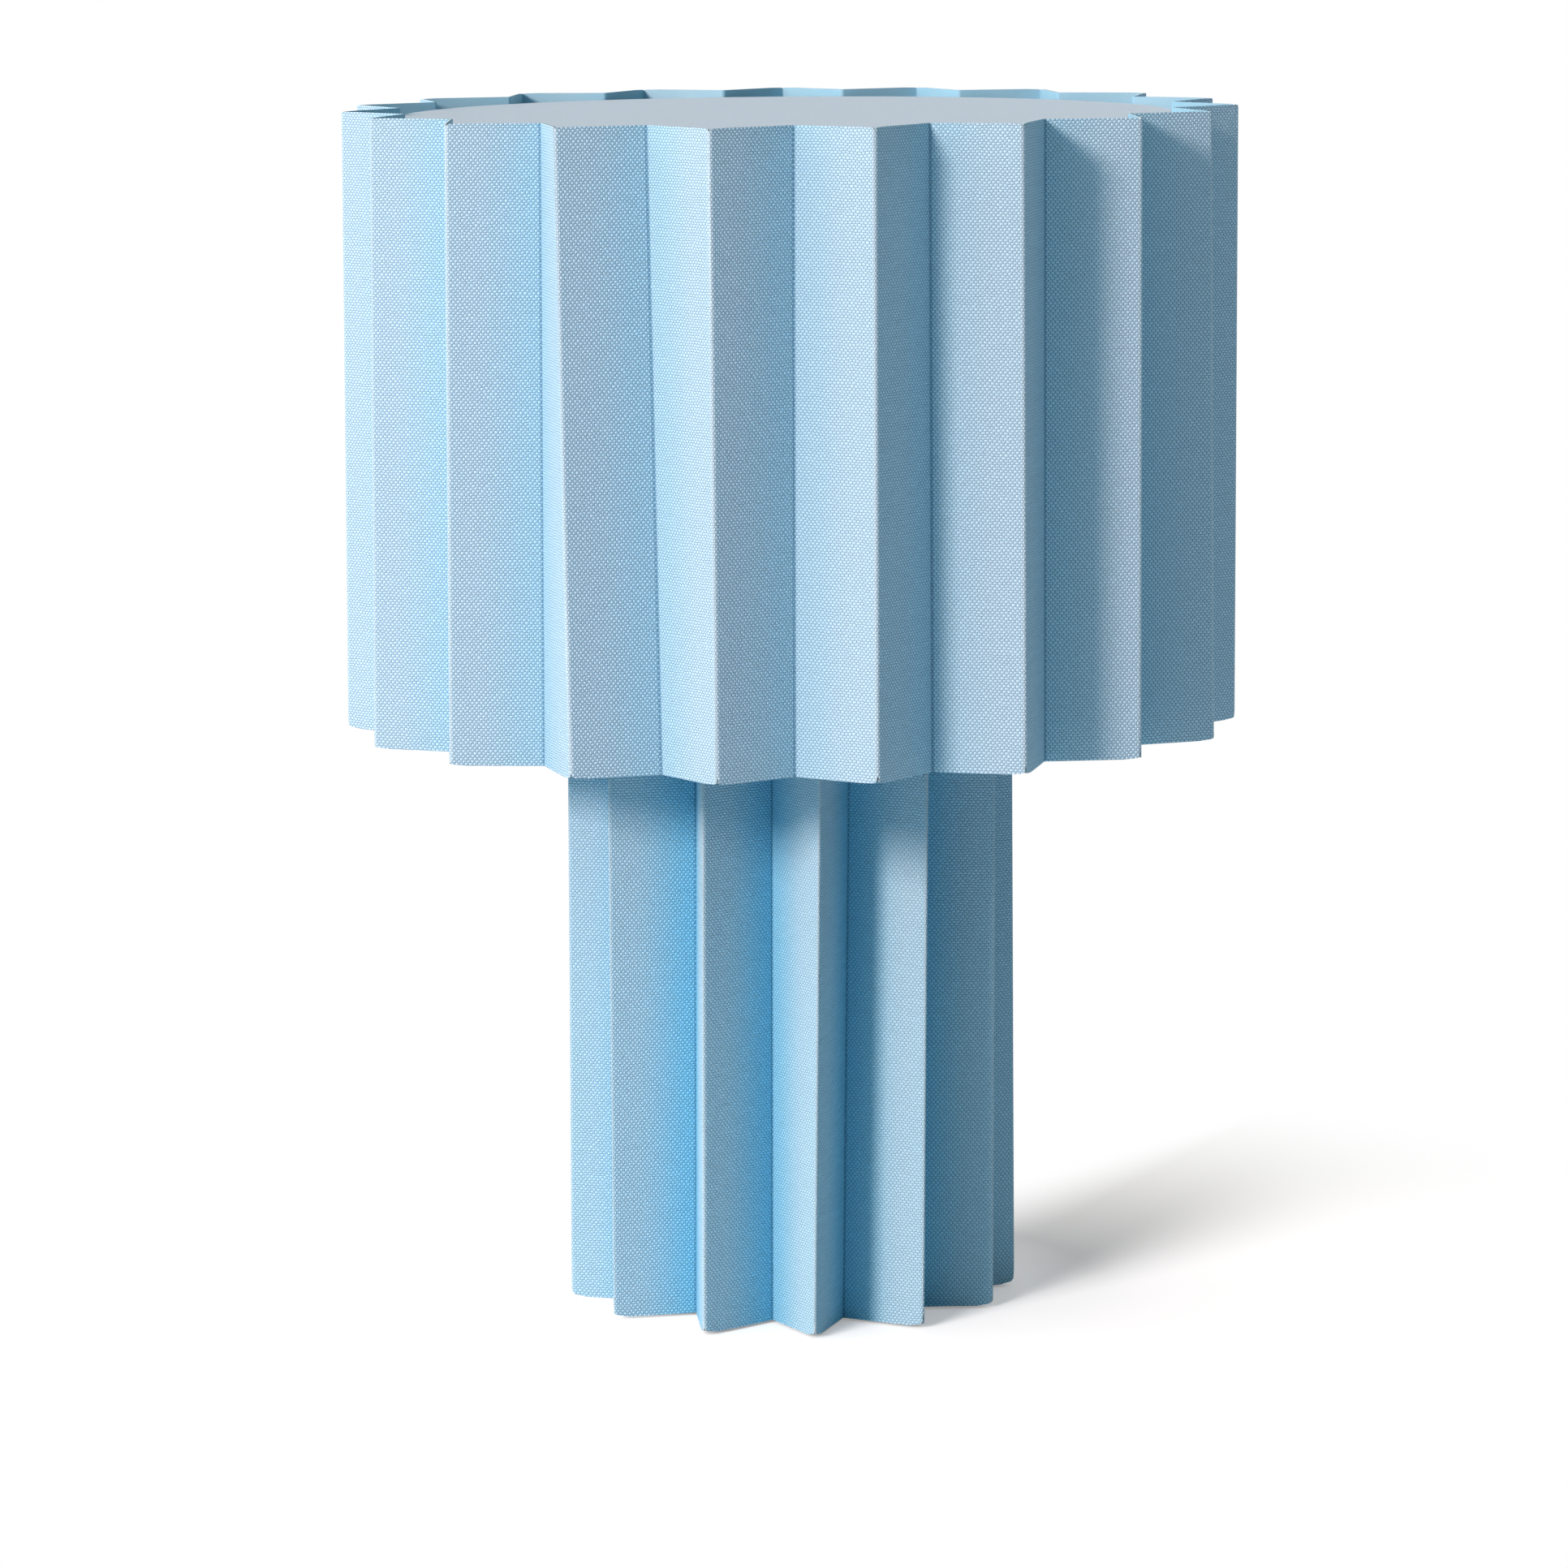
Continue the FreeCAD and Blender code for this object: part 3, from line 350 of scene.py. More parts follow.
def canvas_finish(name, warp_dye, pale_warp_dye, crown_dye, valley_shade_tone):
    """Plain-weave canvas: pale weft crowns in a checkerboard over bluer warp, matt and fuzzy."""
    thread_across = 0.785 * MM
    thread_up = 0.925 * MM
    thread_relief = 0.41 * MM
    slub_stretch = (0.04, 0.9, 1.0)
    crown_edge = (-0.3, 0.3)
    gap_shade_top = 0.4
    rub_and_highlight_share = 0.3
    fold_rub_and_highlight = (0.4 * MM, 2.0 * MM)
    valley_shade_span = (8.0 * MM, 31.0 * MM)
    crease_shade_span = (0.2 * MM, 1.0 * MM)
    tree, shader, finish = new_finish(name, roughness=0.85, sheen_weight=0.04,
                                      sheen_roughness=0.5, specular_ior_level=0.06)
    cloth = add(tree, "ShaderNodeUVMap", uv_map="UVMap")
    threads = add(tree, "ShaderNodeMapping", {
        0: cloth, "Scale": (1 / thread_across, 1 / thread_up, 1.0)})

    # The yarns wander by up to half a thread, and their crossings alternate like a chessboard
    wander = add(tree, "ShaderNodeTexNoise", {0: threads, "Scale": 0.23, "Detail": 1.0}, out=1)
    threads = add(tree, "ShaderNodeVectorMath", {
        0: threads,
        1: add(tree, "ShaderNodeVectorMath", {0: wander, 1: (0.5, 0.5, 0.5)},
               operation="SUBTRACT")}, operation="ADD")
    split = add(tree, "ShaderNodeSeparateXYZ", {0: threads})
    crossing, waves = [], []
    for axis in ("X", "Y"):
        count = split.node.outputs[axis]
        whole = add(tree, "ShaderNodeMath", {0: count}, operation="FLOOR")
        off = add(tree, "ShaderNodeMath", {
            0: add(tree, "ShaderNodeMath", {0: count, 1: whole}, operation="SUBTRACT"),
            1: 0.5}, operation="SUBTRACT")
        crossing.append(whole)
        waves.append(add(tree, "ShaderNodeMath", {
            0: add(tree, "ShaderNodeMath", {0: off, 1: math.pi}, operation="MULTIPLY")},
            operation="COSINE"))
    odd = add(tree, "ShaderNodeMath", {
        0: add(tree, "ShaderNodeMath", {0: crossing[0], 1: crossing[1]}), 1: 2.0},
        operation="FLOORED_MODULO")

    # Each yarn arches over every other crossing: weft crowns are long and high, warp ones lower
    crowns = []
    for rise, spread, full, along_wave, across_wave in (
            (1.0, 0.6, 1.0, waves[0], waves[1]), (-1.0, 1.0, 0.6, waves[1], waves[0])):
        over = add(tree, "ShaderNodeMath", {0: odd, 1: -2.0 * rise, 2: rise},
                   operation="MULTIPLY_ADD")
        arch = add(tree, "ShaderNodeMath", {
            0: add(tree, "ShaderNodeMath", {
                0: add(tree, "ShaderNodeMath", {0: over, 1: along_wave}, operation="MULTIPLY"),
                1: 0.5, 2: 0.5}, operation="MULTIPLY_ADD"),
            1: spread}, operation="POWER")
        section = add(tree, "ShaderNodeMath", {
            0: add(tree, "ShaderNodeMath", {0: across_wave}, operation="SQRT"), 1: full},
            operation="MULTIPLY")
        crowns.append(add(tree, "ShaderNodeMath", {0: arch, 1: section},
                          operation="MULTIPLY"))
    weft, warp = crowns
    surface = add(tree, "ShaderNodeMath", {0: weft, 1: warp}, operation="MAXIMUM")

    # Weft crowns are paler than the ground between them, which slubs streak along the weft
    dots = add(tree, "ShaderNodeMapRange", {
        0: add(tree, "ShaderNodeMath", {0: weft, 1: warp}, operation="SUBTRACT"),
        1: crown_edge[0], 2: crown_edge[1]}, interpolation_type="SMOOTHSTEP")
    slubs = add(tree, "ShaderNodeTexNoise", {
        0: add(tree, "ShaderNodeMapping", {0: threads, "Scale": slub_stretch}),
        "Scale": 1.0, "Detail": 2.0})
    ground = add(tree, "ShaderNodeMix", {
        0: slubs, 6: linear(warp_dye), 7: linear(pale_warp_dye)}, out=2, data_type="RGBA")
    colour = add(tree, "ShaderNodeMix", {0: dots, 6: ground, 7: linear(crown_dye)}, out=2,
                 data_type="RGBA")

    # The small gaps between the crossing yarns are darkened with painted shade
    painted_gap_shade = add(tree, "ShaderNodeMapRange", {0: surface, 1: 0.0, 2: gap_shade_top, 3: 1.0, 4: 0.0},
               interpolation_type="SMOOTHSTEP")
    colour = add(tree, "ShaderNodeMix", {0: painted_gap_shade, 6: colour, 7: linear("#98a7ae")}, out=2,
                 data_type="RGBA", blend_type="MULTIPLY")

    # Along the outer folds the colour turns pale: partly rubbed yarns, partly a painted highlight on
    # the ridge. Painted shade deepens the valleys' blue and darkens a thin line along each crease
    to_fold = add(tree, "ShaderNodeAttribute", out="Fac", attribute_name="to_fold")
    rub_and_highlight = add(tree, "ShaderNodeMapRange", {
        0: to_fold, 1: fold_rub_and_highlight[0], 2: fold_rub_and_highlight[1], 3: rub_and_highlight_share, 4: 0.0},
        interpolation_type="SMOOTHSTEP")
    colour = add(tree, "ShaderNodeMix", {0: rub_and_highlight, 6: colour, 7: linear("#c6e8f8")}, out=2,
                 data_type="RGBA")
    # Painted shade: the valleys turn a deeper, less red blue, standing for light bounced among the
    # folds
    painted_valley_shade = add(tree, "ShaderNodeMapRange", {0: to_fold, 1: valley_shade_span[0], 2: valley_shade_span[1]},
               interpolation_type="SMOOTHSTEP")
    colour = add(tree, "ShaderNodeMix", {0: painted_valley_shade, 6: colour, 7: linear(valley_shade_tone)}, out=2,
                 data_type="RGBA", blend_type="MULTIPLY")
    # Painted shade: a thin dark line along each valley's crease
    painted_crease_shade = add(tree, "ShaderNodeMapRange", {
        0: add(tree, "ShaderNodeAttribute", out="Fac", attribute_name="to_valley"),
        1: crease_shade_span[0], 2: crease_shade_span[1], 3: 1.0, 4: 0.0}, interpolation_type="SMOOTHSTEP")
    colour = add(tree, "ShaderNodeMix", {0: painted_crease_shade, 6: colour, 7: linear("#bed0da")}, out=2,
                 data_type="RGBA", blend_type="MULTIPLY")
    relief = add(tree, "ShaderNodeBump", {
        "Strength": 1.0, "Distance": thread_relief, "Height": surface})
    tree.links.new(colour, shader.inputs["Base Color"])
    tree.links.new(relief, shader.inputs["Normal"])
    return finish


def cut_edge_finish():
    """The canvas and its backing, cut through at the rims: pale, with a fine fibrous grain."""
    tree, shader, finish = new_finish("cut_canvas_edge", roughness=0.9)
    grain = add(tree, "ShaderNodeTexNoise", {
        0: add(tree, "ShaderNodeTexCoord", out="Object"), "Scale": 0.9 / MM, "Detail": 3.0})
    tree.links.new(add(tree, "ShaderNodeMix", {
        0: grain, 6: linear("#98c6d9"), 7: linear("#c2e2ee")}, out=2, data_type="RGBA"),
        shader.inputs["Base Color"])
    return finish


def backing_finish():
    """The smooth film on the inner side, in the cloth's own blue, with a faint haze."""
    tree, shader, finish = new_finish("blue_backing_film", roughness=0.55,
                                      specular_ior_level=0.35)
    haze = add(tree, "ShaderNodeTexNoise", {
        0: add(tree, "ShaderNodeTexCoord", out="Object"), "Scale": 0.06 / MM, "Detail": 3.0})
    tree.links.new(add(tree, "ShaderNodeMix", {
        0: haze, 6: linear("#79b7d5"), 7: linear("#8cc5dd")}, out=2, data_type="RGBA"),
        shader.inputs["Base Color"])
    return finish


def folded_canvas(name, pleats, canvas, sizes, lines):
    """Fold a ring of canvas along its lines, and give it its wall, cut edges and backing."""
    piece = run_tree(lines, FOLD_CANVAS, {
        "Panels": pleats * 2, "Panel Columns": PANEL_COLUMNS, "Rows": CLOTH_ROWS,
        "Inner Bend": INNER_BEND, "Bow": PANEL_BOW, "Merge Gap": MERGE_GAP,
        "Canvas": canvas, **sizes})
    piece.name = name
    for finish in (CUT_EDGE, BACKING):
        piece.data.materials.append(finish)

    # The rims take the first material after the canvas, and the inner side the second
    wall = piece.modifiers.new("wall", "SOLIDIFY")
    wall.thickness = CLOTH_WALL
    wall.offset = -1.0
    wall.use_even_offset = True
    wall.material_offset_rim = 1
    wall.material_offset = 2
    piece.modifiers.new("even_shading", "WEIGHTED_NORMAL")
    return settle(piece)


FOLD_CANVAS = folding_tree()
CUT_EDGE = cut_edge_finish()
BACKING = backing_finish()

low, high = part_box("base_pleats")
base_canvas = folded_canvas(
    "base_canvas", BASE_PLEATS,
    canvas_finish("base_plain_weave_canvas", "#7cb2cc", "#84bad4", "#a9defa", "#bef2ff"),
    {"Outer Bend": BASE_OUTER_BEND, "Rim Round": BASE_RIM_ROUND, "Seed": 4},
    fold_lines("base_canvas_lines", BASE_PLEATS, (BASE_OUTER_FOLD, BASE_INNER_FOLD),
               (low.z, high.z), (BASE_FIRST_FOLD_FOOT, BASE_FIRST_FOLD_TOP), BASE_STRAYS,
               seed=11, off_centre=BASE_OFF_CENTRE))
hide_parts("base_pleats")
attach(base_canvas, "base")

# Board core and steel disc
# A spiral-wound tube of grey board that the sleeve is glued to, closed at the top by a pressed
# steel disc with a white powder coat. The disc carries the lampholder and pulls the core tight.
SPIRAL_STRIP = 84.0 * MM
SEAM_DEPTH = 0.5 * MM
SEAM_SHARP = 4000.0


def grained(name, pale, dark, grain, relief=0.0, stretch=(1.0, 1.0, 1.0), rough=(0.4, 0.5),
            detail=3.0, **sockets):
    """A finish whose colour, relief and polish vary with one grain, its size given in metres."""
    tree, shader, finish = new_finish(name, **sockets)
    place = add(tree, "ShaderNodeMapping", {
        0: add(tree, "ShaderNodeTexCoord", out="Object"),
        "Scale": [share / grain for share in stretch]})
    speck = add(tree, "ShaderNodeTexNoise", {0: place, "Scale": 1.0, "Detail": detail})

    # Noise keeps near its middle, so its middle values take up the whole range from dark to pale
    tone = add(tree, "ShaderNodeMapRange", {0: speck, 1: 0.3, 2: 0.7},
               interpolation_type="SMOOTHSTEP")
    tree.links.new(add(tree, "ShaderNodeMix", {0: tone, 6: linear(dark), 7: linear(pale)},
                       out=2, data_type="RGBA"), shader.inputs["Base Color"])
    tree.links.new(add(tree, "ShaderNodeMapRange", {0: tone, 3: rough[1], 4: rough[0]}),
                   shader.inputs["Roughness"])
    if relief:
        bump = add(tree, "ShaderNodeBump", {"Strength": 1.0, "Distance": relief, "Height": speck})
        tree.links.new(bump, shader.inputs["Normal"])
    return finish


def round_axis(tree, lead):
    """Turns of a helix round the vertical axis, its lead given in metres a turn."""
    split = add(tree, "ShaderNodeSeparateXYZ", {0: add(tree, "ShaderNodeTexCoord", out="Object")})
    turn = add(tree, "ShaderNodeMath", {
        0: add(tree, "ShaderNodeMath", {0: split.node.outputs["Y"], 1: split},
               operation="ARCTAN2"), 1: math.tau}, operation="DIVIDE")
    return add(tree, "ShaderNodeMath", {
        0: add(tree, "ShaderNodeMath", {0: split.node.outputs["Z"], 1: lead},
               operation="DIVIDE"), 1: turn}, operation="SUBTRACT")


def cut_relief(finish, place, depth, sharp=1.0):
    """Waves along a place, one for each whole number of it, added to a finish's relief."""
    tree = finish.node_tree
    shader = tree.nodes["Principled BSDF"]
    wave = add(tree, "ShaderNodeMath", {
        0: add(tree, "ShaderNodeMath", {
            0: add(tree, "ShaderNodeMath", {0: place, 1: math.tau}, operation="MULTIPLY")},
            operation="COSINE"), 1: 0.5, 2: 0.5}, operation="MULTIPLY_ADD")
    wave = add(tree, "ShaderNodeMath", {0: wave, 1: sharp}, operation="POWER")
    links = {"Strength": 1.0, "Distance": depth, "Height": wave}
    if shader.inputs["Normal"].is_linked:
        links["Normal"] = shader.inputs["Normal"].links[0].from_socket
    tree.links.new(add(tree, "ShaderNodeBump", links), shader.inputs["Normal"])


def dress(finish, *names):
    """Give CAD nodes their finish."""
    for name in names:
        for material_slot in bpy.data.objects[name].material_slots:
            material_slot.material = finish


# Grey board: short recycled fibres, matt, with the strip's butt seam winding up it
grey_board = grained("spiral_wound_grey_board", "#c9c1b0", "#a89f8d", grain=1.1 * MM,
                     relief=0.06 * MM, stretch=(1.0, 1.0, 0.35), rough=(0.85, 0.97),
                     specular_ior_level=0.2)
cut_relief(grey_board, round_axis(grey_board.node_tree, SPIRAL_STRIP), -SEAM_DEPTH, SEAM_SHARP)
dress(grey_board, "base_core")

# Powder-coated steel: satin white with a fine orange peel
powder_coat = grained("white_powder_coated_steel", "#d8e0e4", "#cfd8dd", grain=1.1 * MM,
                      relief=0.012 * MM, rough=(0.38, 0.5), detail=1.0)
dress(powder_coat, "base_top_disc")

# Weight and felt
# A cast iron weight in the foot of the core keeps the lamp from tipping. A felt pad glued
# under it protects the table.

# Sand-cast iron with a thin black paint: coarse grains show through it
cast_iron = grained("black_painted_cast_iron", "#2c2c2d", "#1a1a1b", grain=1.6 * MM,
                    relief=0.35 * MM, rough=(0.55, 0.8), detail=5.0)
dress(cast_iron, "ballast_weight")

# Needled wool felt: flat-lying fibres in two shades of grey, with a soft sheen
felt = grained("grey_wool_felt", "#5d5e61", "#35363a", grain=0.5 * MM, relief=0.3 * MM,
               stretch=(1.0, 0.3, 1.0), rough=(0.92, 1.0), detail=6.0, sheen_weight=0.4,
               sheen_roughness=0.6, specular_ior_level=0.1)
dress(felt, "felt_pad")

# Tube, washers and nuts
# A threaded steel tube runs up the middle from the weight to the lampholder. Nuts at both ends
# pull weight, spacer tube and disc together.
TUBE_PITCH = 1.0 * MM
TUBE_THREAD_DEPTH = 0.55 * MM

# Bright zinc plating: silvery, with faint bluish clouds
zinc = grained("bright_zinc_plated_steel", "#c6c8c8", "#aab0b8", grain=5.0 * MM,
               relief=0.004 * MM, rough=(0.25, 0.42), metallic=1.0)
dress(zinc, "stem_tube", "bottom_washer", "top_washer", "bottom_nut", "top_nut", "lock_screw")

# The same plating on a rolled thread of one millimetre pitch
zinc_thread = grained("zinc_plated_thread", "#bfc1c1", "#9aa0a6", grain=3.0 * MM,
                      rough=(0.3, 0.5), metallic=1.0)
cut_relief(zinc_thread, round_axis(zinc_thread.node_tree, TUBE_PITCH), TUBE_THREAD_DEPTH)
dress(zinc_thread, "threaded_tube")

# Cord inlet
# A moulded bush with a flange at the back of the foot, held by a nut inside the core. It is
# left open: the photograph shows no cord.

# Polyamide moulded in a spark-eroded tool: off-white, with a fine even texture
polyamide = grained("off_white_moulded_polyamide", "#e4e2db", "#dbd9d1", grain=0.6 * MM,
                    relief=0.03 * MM, rough=(0.48, 0.6), detail=2.0, specular_ior_level=0.45)
dress(polyamide, "cord_inlet", "cord_inlet_nut")

# Lampholder
# A two-part moulded holder for an E27 bulb: the cap screws on the tube, the shell on the cap.
# A ceramic insert holds a rolled brass thread and a sprung centre contact.

# Heat-proof polyester moulding: brighter and glossier than the inlet, faintly mottled
holder_plastic = grained("white_moulded_polyester", "#e2e8ea", "#dae1e4", grain=2.5 * MM,
                         relief=0.01 * MM, rough=(0.28, 0.38), detail=2.0)
dress(holder_plastic, "holder_cap", "holder_shell")

# Glazed steatite: warm white, with tiny darker specks under a glossy glaze
steatite = grained("glazed_steatite", "#ebe7dc", "#cfc8b8", grain=0.35 * MM,
                   relief=0.01 * MM, rough=(0.12, 0.25), detail=2.0, coat_weight=0.4,
                   coat_roughness=0.08)
dress(steatite, "holder_insert")

# Stamped brass: yellow metal that has dulled in patches
brass = grained("stamped_brass", "#d8b26a", "#a97f3c", grain=3.0 * MM, relief=0.008 * MM,
                rough=(0.2, 0.42), metallic=1.0)
dress(brass, "thread_shell", "centre_contact", "terminal_screws")

# Rings and carrier
# Two ribbed rings on the lampholder's outer thread clamp the hub of the shade carrier. Three
# bent wires are welded to the hub and end under the lower ring of the shade.
RING_RIBS = 60
ROUNDS_PER_RIB = 10
RIB_DEPTH = 0.9 * MM
RIM_BEVEL = 0.8 * MM
THREAD_GAP = 0.1 * MM
SHARP_EDGE = 38.0


def turned_ring(name, finish, rounds, path, hollow):
    """A closed path of (radius, height) points carried round the axis. `hollow` says how far a
    point lies inside the path, from its angle, radius and height."""
    corners, faces = [], []
    for step in range(rounds):
        angle = math.tau * step / rounds
        for radius, height in path:
            radius -= hollow(angle, radius, height)
            corners.append((radius * math.cos(angle), radius * math.sin(angle), height))
        here, there = step * len(path), (step + 1) % rounds * len(path)
        for number in range(len(path)):
            following = (number + 1) % len(path)
            faces.append((here + number, there + number, there + following, here + following))
    mesh = bpy.data.meshes.new(name)
    mesh.from_pydata(corners, [], faces)
    mesh.polygons.foreach_set("use_smooth", [True] * len(faces))
    mesh.set_sharp_from_angle(angle=math.radians(SHARP_EDGE))
    mesh.materials.append(finish)
    piece = bpy.data.objects.new(name, mesh)
    bpy.context.scene.collection.objects.link(piece)
    return piece


def grip_ribs(rim):
    """The half-round grooves between a ring's grip ribs, cut into its rim only."""
    def groove(angle, radius, height):
        wave = max(0.0, math.cos(angle * RING_RIBS))
        return RIB_DEPTH * math.sqrt(wave) if radius > rim - RIM_BEVEL / 2 else 0.0
    return groove


# The holder's own plastic, a shade duller where fingers grip it
ribbed_plastic = grained("white_polyester_of_the_rings", "#e2e8ea", "#d8dfe2", grain=2.5 * MM,
                         relief=0.01 * MM, rough=(0.3, 0.4), detail=2.0)
ring_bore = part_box("holder_shell")[1].x + THREAD_GAP
for ring in ("seat_ring", "clamp_ring"):
    low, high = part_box(ring)
    rim = high.x
    ribbed_ring = turned_ring("ribbed_" + ring, ribbed_plastic, RING_RIBS * ROUNDS_PER_RIB, [
        (ring_bore, low.z), (rim - RIM_BEVEL, low.z), (rim, low.z + RIM_BEVEL),
        (rim, high.z - RIM_BEVEL), (rim - RIM_BEVEL, high.z), (ring_bore, high.z)],
        grip_ribs(rim))
    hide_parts(ring)
    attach(ribbed_ring, "base")

dress(powder_coat, "carrier_hub", "carrier_arm_1", "carrier_arm_2", "carrier_arm_3")

# Bulb
# An LED bulb with an opal dome on a plastic collar and an aluminium E27 cap. It screws in by
# four turns; its light board lies hidden under the dome.
E27_PITCH = 3.629 * MM
CAP_ROWS = 110
CAP_ROUNDS = 120
CAP_WALL = 0.4 * MM
CAP_FOOT_BORE = 9.4 * MM
CAP_FOOT_ROWS = 2
THREAD_DEPTH = 1.1 * MM
THREAD_FOOT, THREAD_FOOT_RUN = 0.8 * MM, 2.0 * MM
THREAD_TOP, THREAD_TOP_RUN = 1.6 * MM, 1.6 * MM
FOOT_CORNER, FOOT_CORNER_RUN = 0.9 * MM, 1.4 * MM

# Soft solder on the contact button: dull grey tin that froze in small ripples
solder = grained("soft_solder", "#b4b5b6", "#8c8d90", grain=1.2 * MM, relief=0.15 * MM,
                 rough=(0.35, 0.6), metallic=1.0)
dress(solder, "bulb_button")

# Black vitrite glass between button and cap: very dark and glossy, with flow marks
vitrite = grained("black_vitrite_glass", "#17171b", "#0a0a0c", grain=2.0 * MM,
                  relief=0.03 * MM, rough=(0.08, 0.2))
dress(vitrite, "bulb_insulator")

# Thin aluminium: bright, with fine lines turned round it
aluminium = grained("rolled_aluminium", "#d3d4d6", "#b9babd", grain=0.35 * MM,
                    relief=0.01 * MM, stretch=(0.02, 0.02, 1.0), rough=(0.22, 0.36),
                    metallic=1.0)
dress(aluminium, "bulb_light_board")
cap_low, cap_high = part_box("bulb_cap")


def rolled_thread(angle, radius, height):
    """The rounded E27 thread, fading out towards the cap's foot, whose corner is rounded too,
    and towards its rim. The foot's bore stays as it is."""
    if radius < cap_high.x - 2 * CAP_WALL:
        return 0.0
    above, below = height - cap_low.z, cap_high.z - height
    fade = min(1.0, max(0.0, (above - THREAD_FOOT) / THREAD_FOOT_RUN),
               max(0.0, (below - THREAD_TOP) / THREAD_TOP_RUN))
    foot_corner = FOOT_CORNER * max(0.0, 1.0 - above / FOOT_CORNER_RUN) ** 2
    turn = (height / E27_PITCH - angle / math.tau) * math.tau
    return foot_corner + THREAD_DEPTH * fade * (0.5 - 0.5 * math.cos(turn))


cap_height = cap_high.z - cap_low.z
heights = [cap_low.z + cap_height * row / CAP_ROWS for row in range(CAP_ROWS + 1)]
screw_cap = turned_ring("rolled_screw_cap", aluminium, CAP_ROUNDS, [
    (CAP_FOOT_BORE, cap_low.z), *[(cap_high.x, height) for height in heights],
    *[(cap_high.x - CAP_WALL, height) for height in reversed(heights[CAP_FOOT_ROWS:])],
    (CAP_FOOT_BORE, cap_low.z + CAP_WALL)], rolled_thread)
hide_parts("bulb_cap")
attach(screw_cap, "bulb")

# Glossy moulded polycarbonate: clean white, almost without texture
collar_plastic = grained("glossy_white_polycarbonate", "#e6edf0", "#dee6ea", grain=6.0 * MM,
                         relief=0.01 * MM, rough=(0.16, 0.24), detail=1.0,
                         subsurface_weight=0.1, subsurface_scale=1.0,
                         subsurface_radius=(3.0 * MM, 2.0 * MM, 1.5 * MM))
dress(collar_plastic, "bulb_collar")

# Opal polycarbonate: light scatters inside it, so that it looks soft and evenly milky
opal = grained("opal_polycarbonate", "#f1f5f6", "#e9eef0", grain=9.0 * MM, relief=0.01 * MM,
               rough=(0.27, 0.31), detail=1.0, subsurface_weight=0.5, subsurface_scale=1.0,
               subsurface_radius=(6.0 * MM, 4.5 * MM, 3.5 * MM))
dress(opal, "bulb_globe")

# Shade
# A ring of the same canvas on its backing, folded into nineteen shallower pleats. It hangs on
# the two wire rings that its inner folds are glued to.
SHADE_PLEATS = 19
SHADE_OUTER_FOLD = 160.4 * MM
SHADE_INNER_FOLD = 139.6 * MM
SHADE_OUTER_BEND = 1.5 * MM
SHADE_RIM_ROUND = 3.0 * MM
SHADE_FIRST_FOLD = -84.44

# How far its pleats stray from an even ring, listed as for the base
SHADE_STRAYS = {
    0: (0.0, 0.0, 0.1, -1.6),
    2: (0.0, 0.0, 1.0, -1.4),
    4: (-2.4, 0.6, 0.0, 0.0),
    5: (-1.2, 1.0, 0.0, 0.0),
    6: (-1.2, -4.2, 0.0, 0.0),
    7: (-0.9, -3.9, 0.0, 0.0),
    8: (-1.2, -1.8, 0.0, 0.0),
    9: (-1.0, 0.2, 0.0, 0.0),
    10: (0.3, 0.5, 0.0, 0.0),
    11: (0.6, 0.6, 0.0, 0.0),
    12: (1.5, 1.0, 0.0, 0.0),
    13: (-0.6, -0.2, 0.0, 0.0),
    14: (1.6, 1.9, 0.0, 0.0),
    16: (0.0, 0.0, 1.2, -0.2),
    18: (0.0, 0.0, 0.0, 0.5),
}

low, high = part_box("shade_pleats")
shade_canvas = folded_canvas(
    "shade_canvas", SHADE_PLEATS,
    canvas_finish("shade_plain_weave_canvas", "#7cabc6", "#84b3ce", "#b3e0fc", "#ecfcff"),
    {"Outer Bend": SHADE_OUTER_BEND, "Rim Round": SHADE_RIM_ROUND, "Seed": 9},
    fold_lines("shade_canvas_lines", SHADE_PLEATS, (SHADE_OUTER_FOLD, SHADE_INNER_FOLD),
               (low.z, high.z), (SHADE_FIRST_FOLD, SHADE_FIRST_FOLD), SHADE_STRAYS, seed=5))
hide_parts("shade_pleats")
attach(shade_canvas, "shade")

# Shade rings
# Two rings of steel wire with the carrier's powder coat, glued into the inner folds of the
# shade at top and foot. The lower one rests on the three wires, the upper one holds the disc.
dress(powder_coat, "shade_top_ring", "shade_bottom_ring")

# Top disc
# A thin stiff disc laminated with a smooth, finely woven cotton, greyer and paler than the
# canvas. It lies loose on the shade's upper ring and keeps dust and glare in.


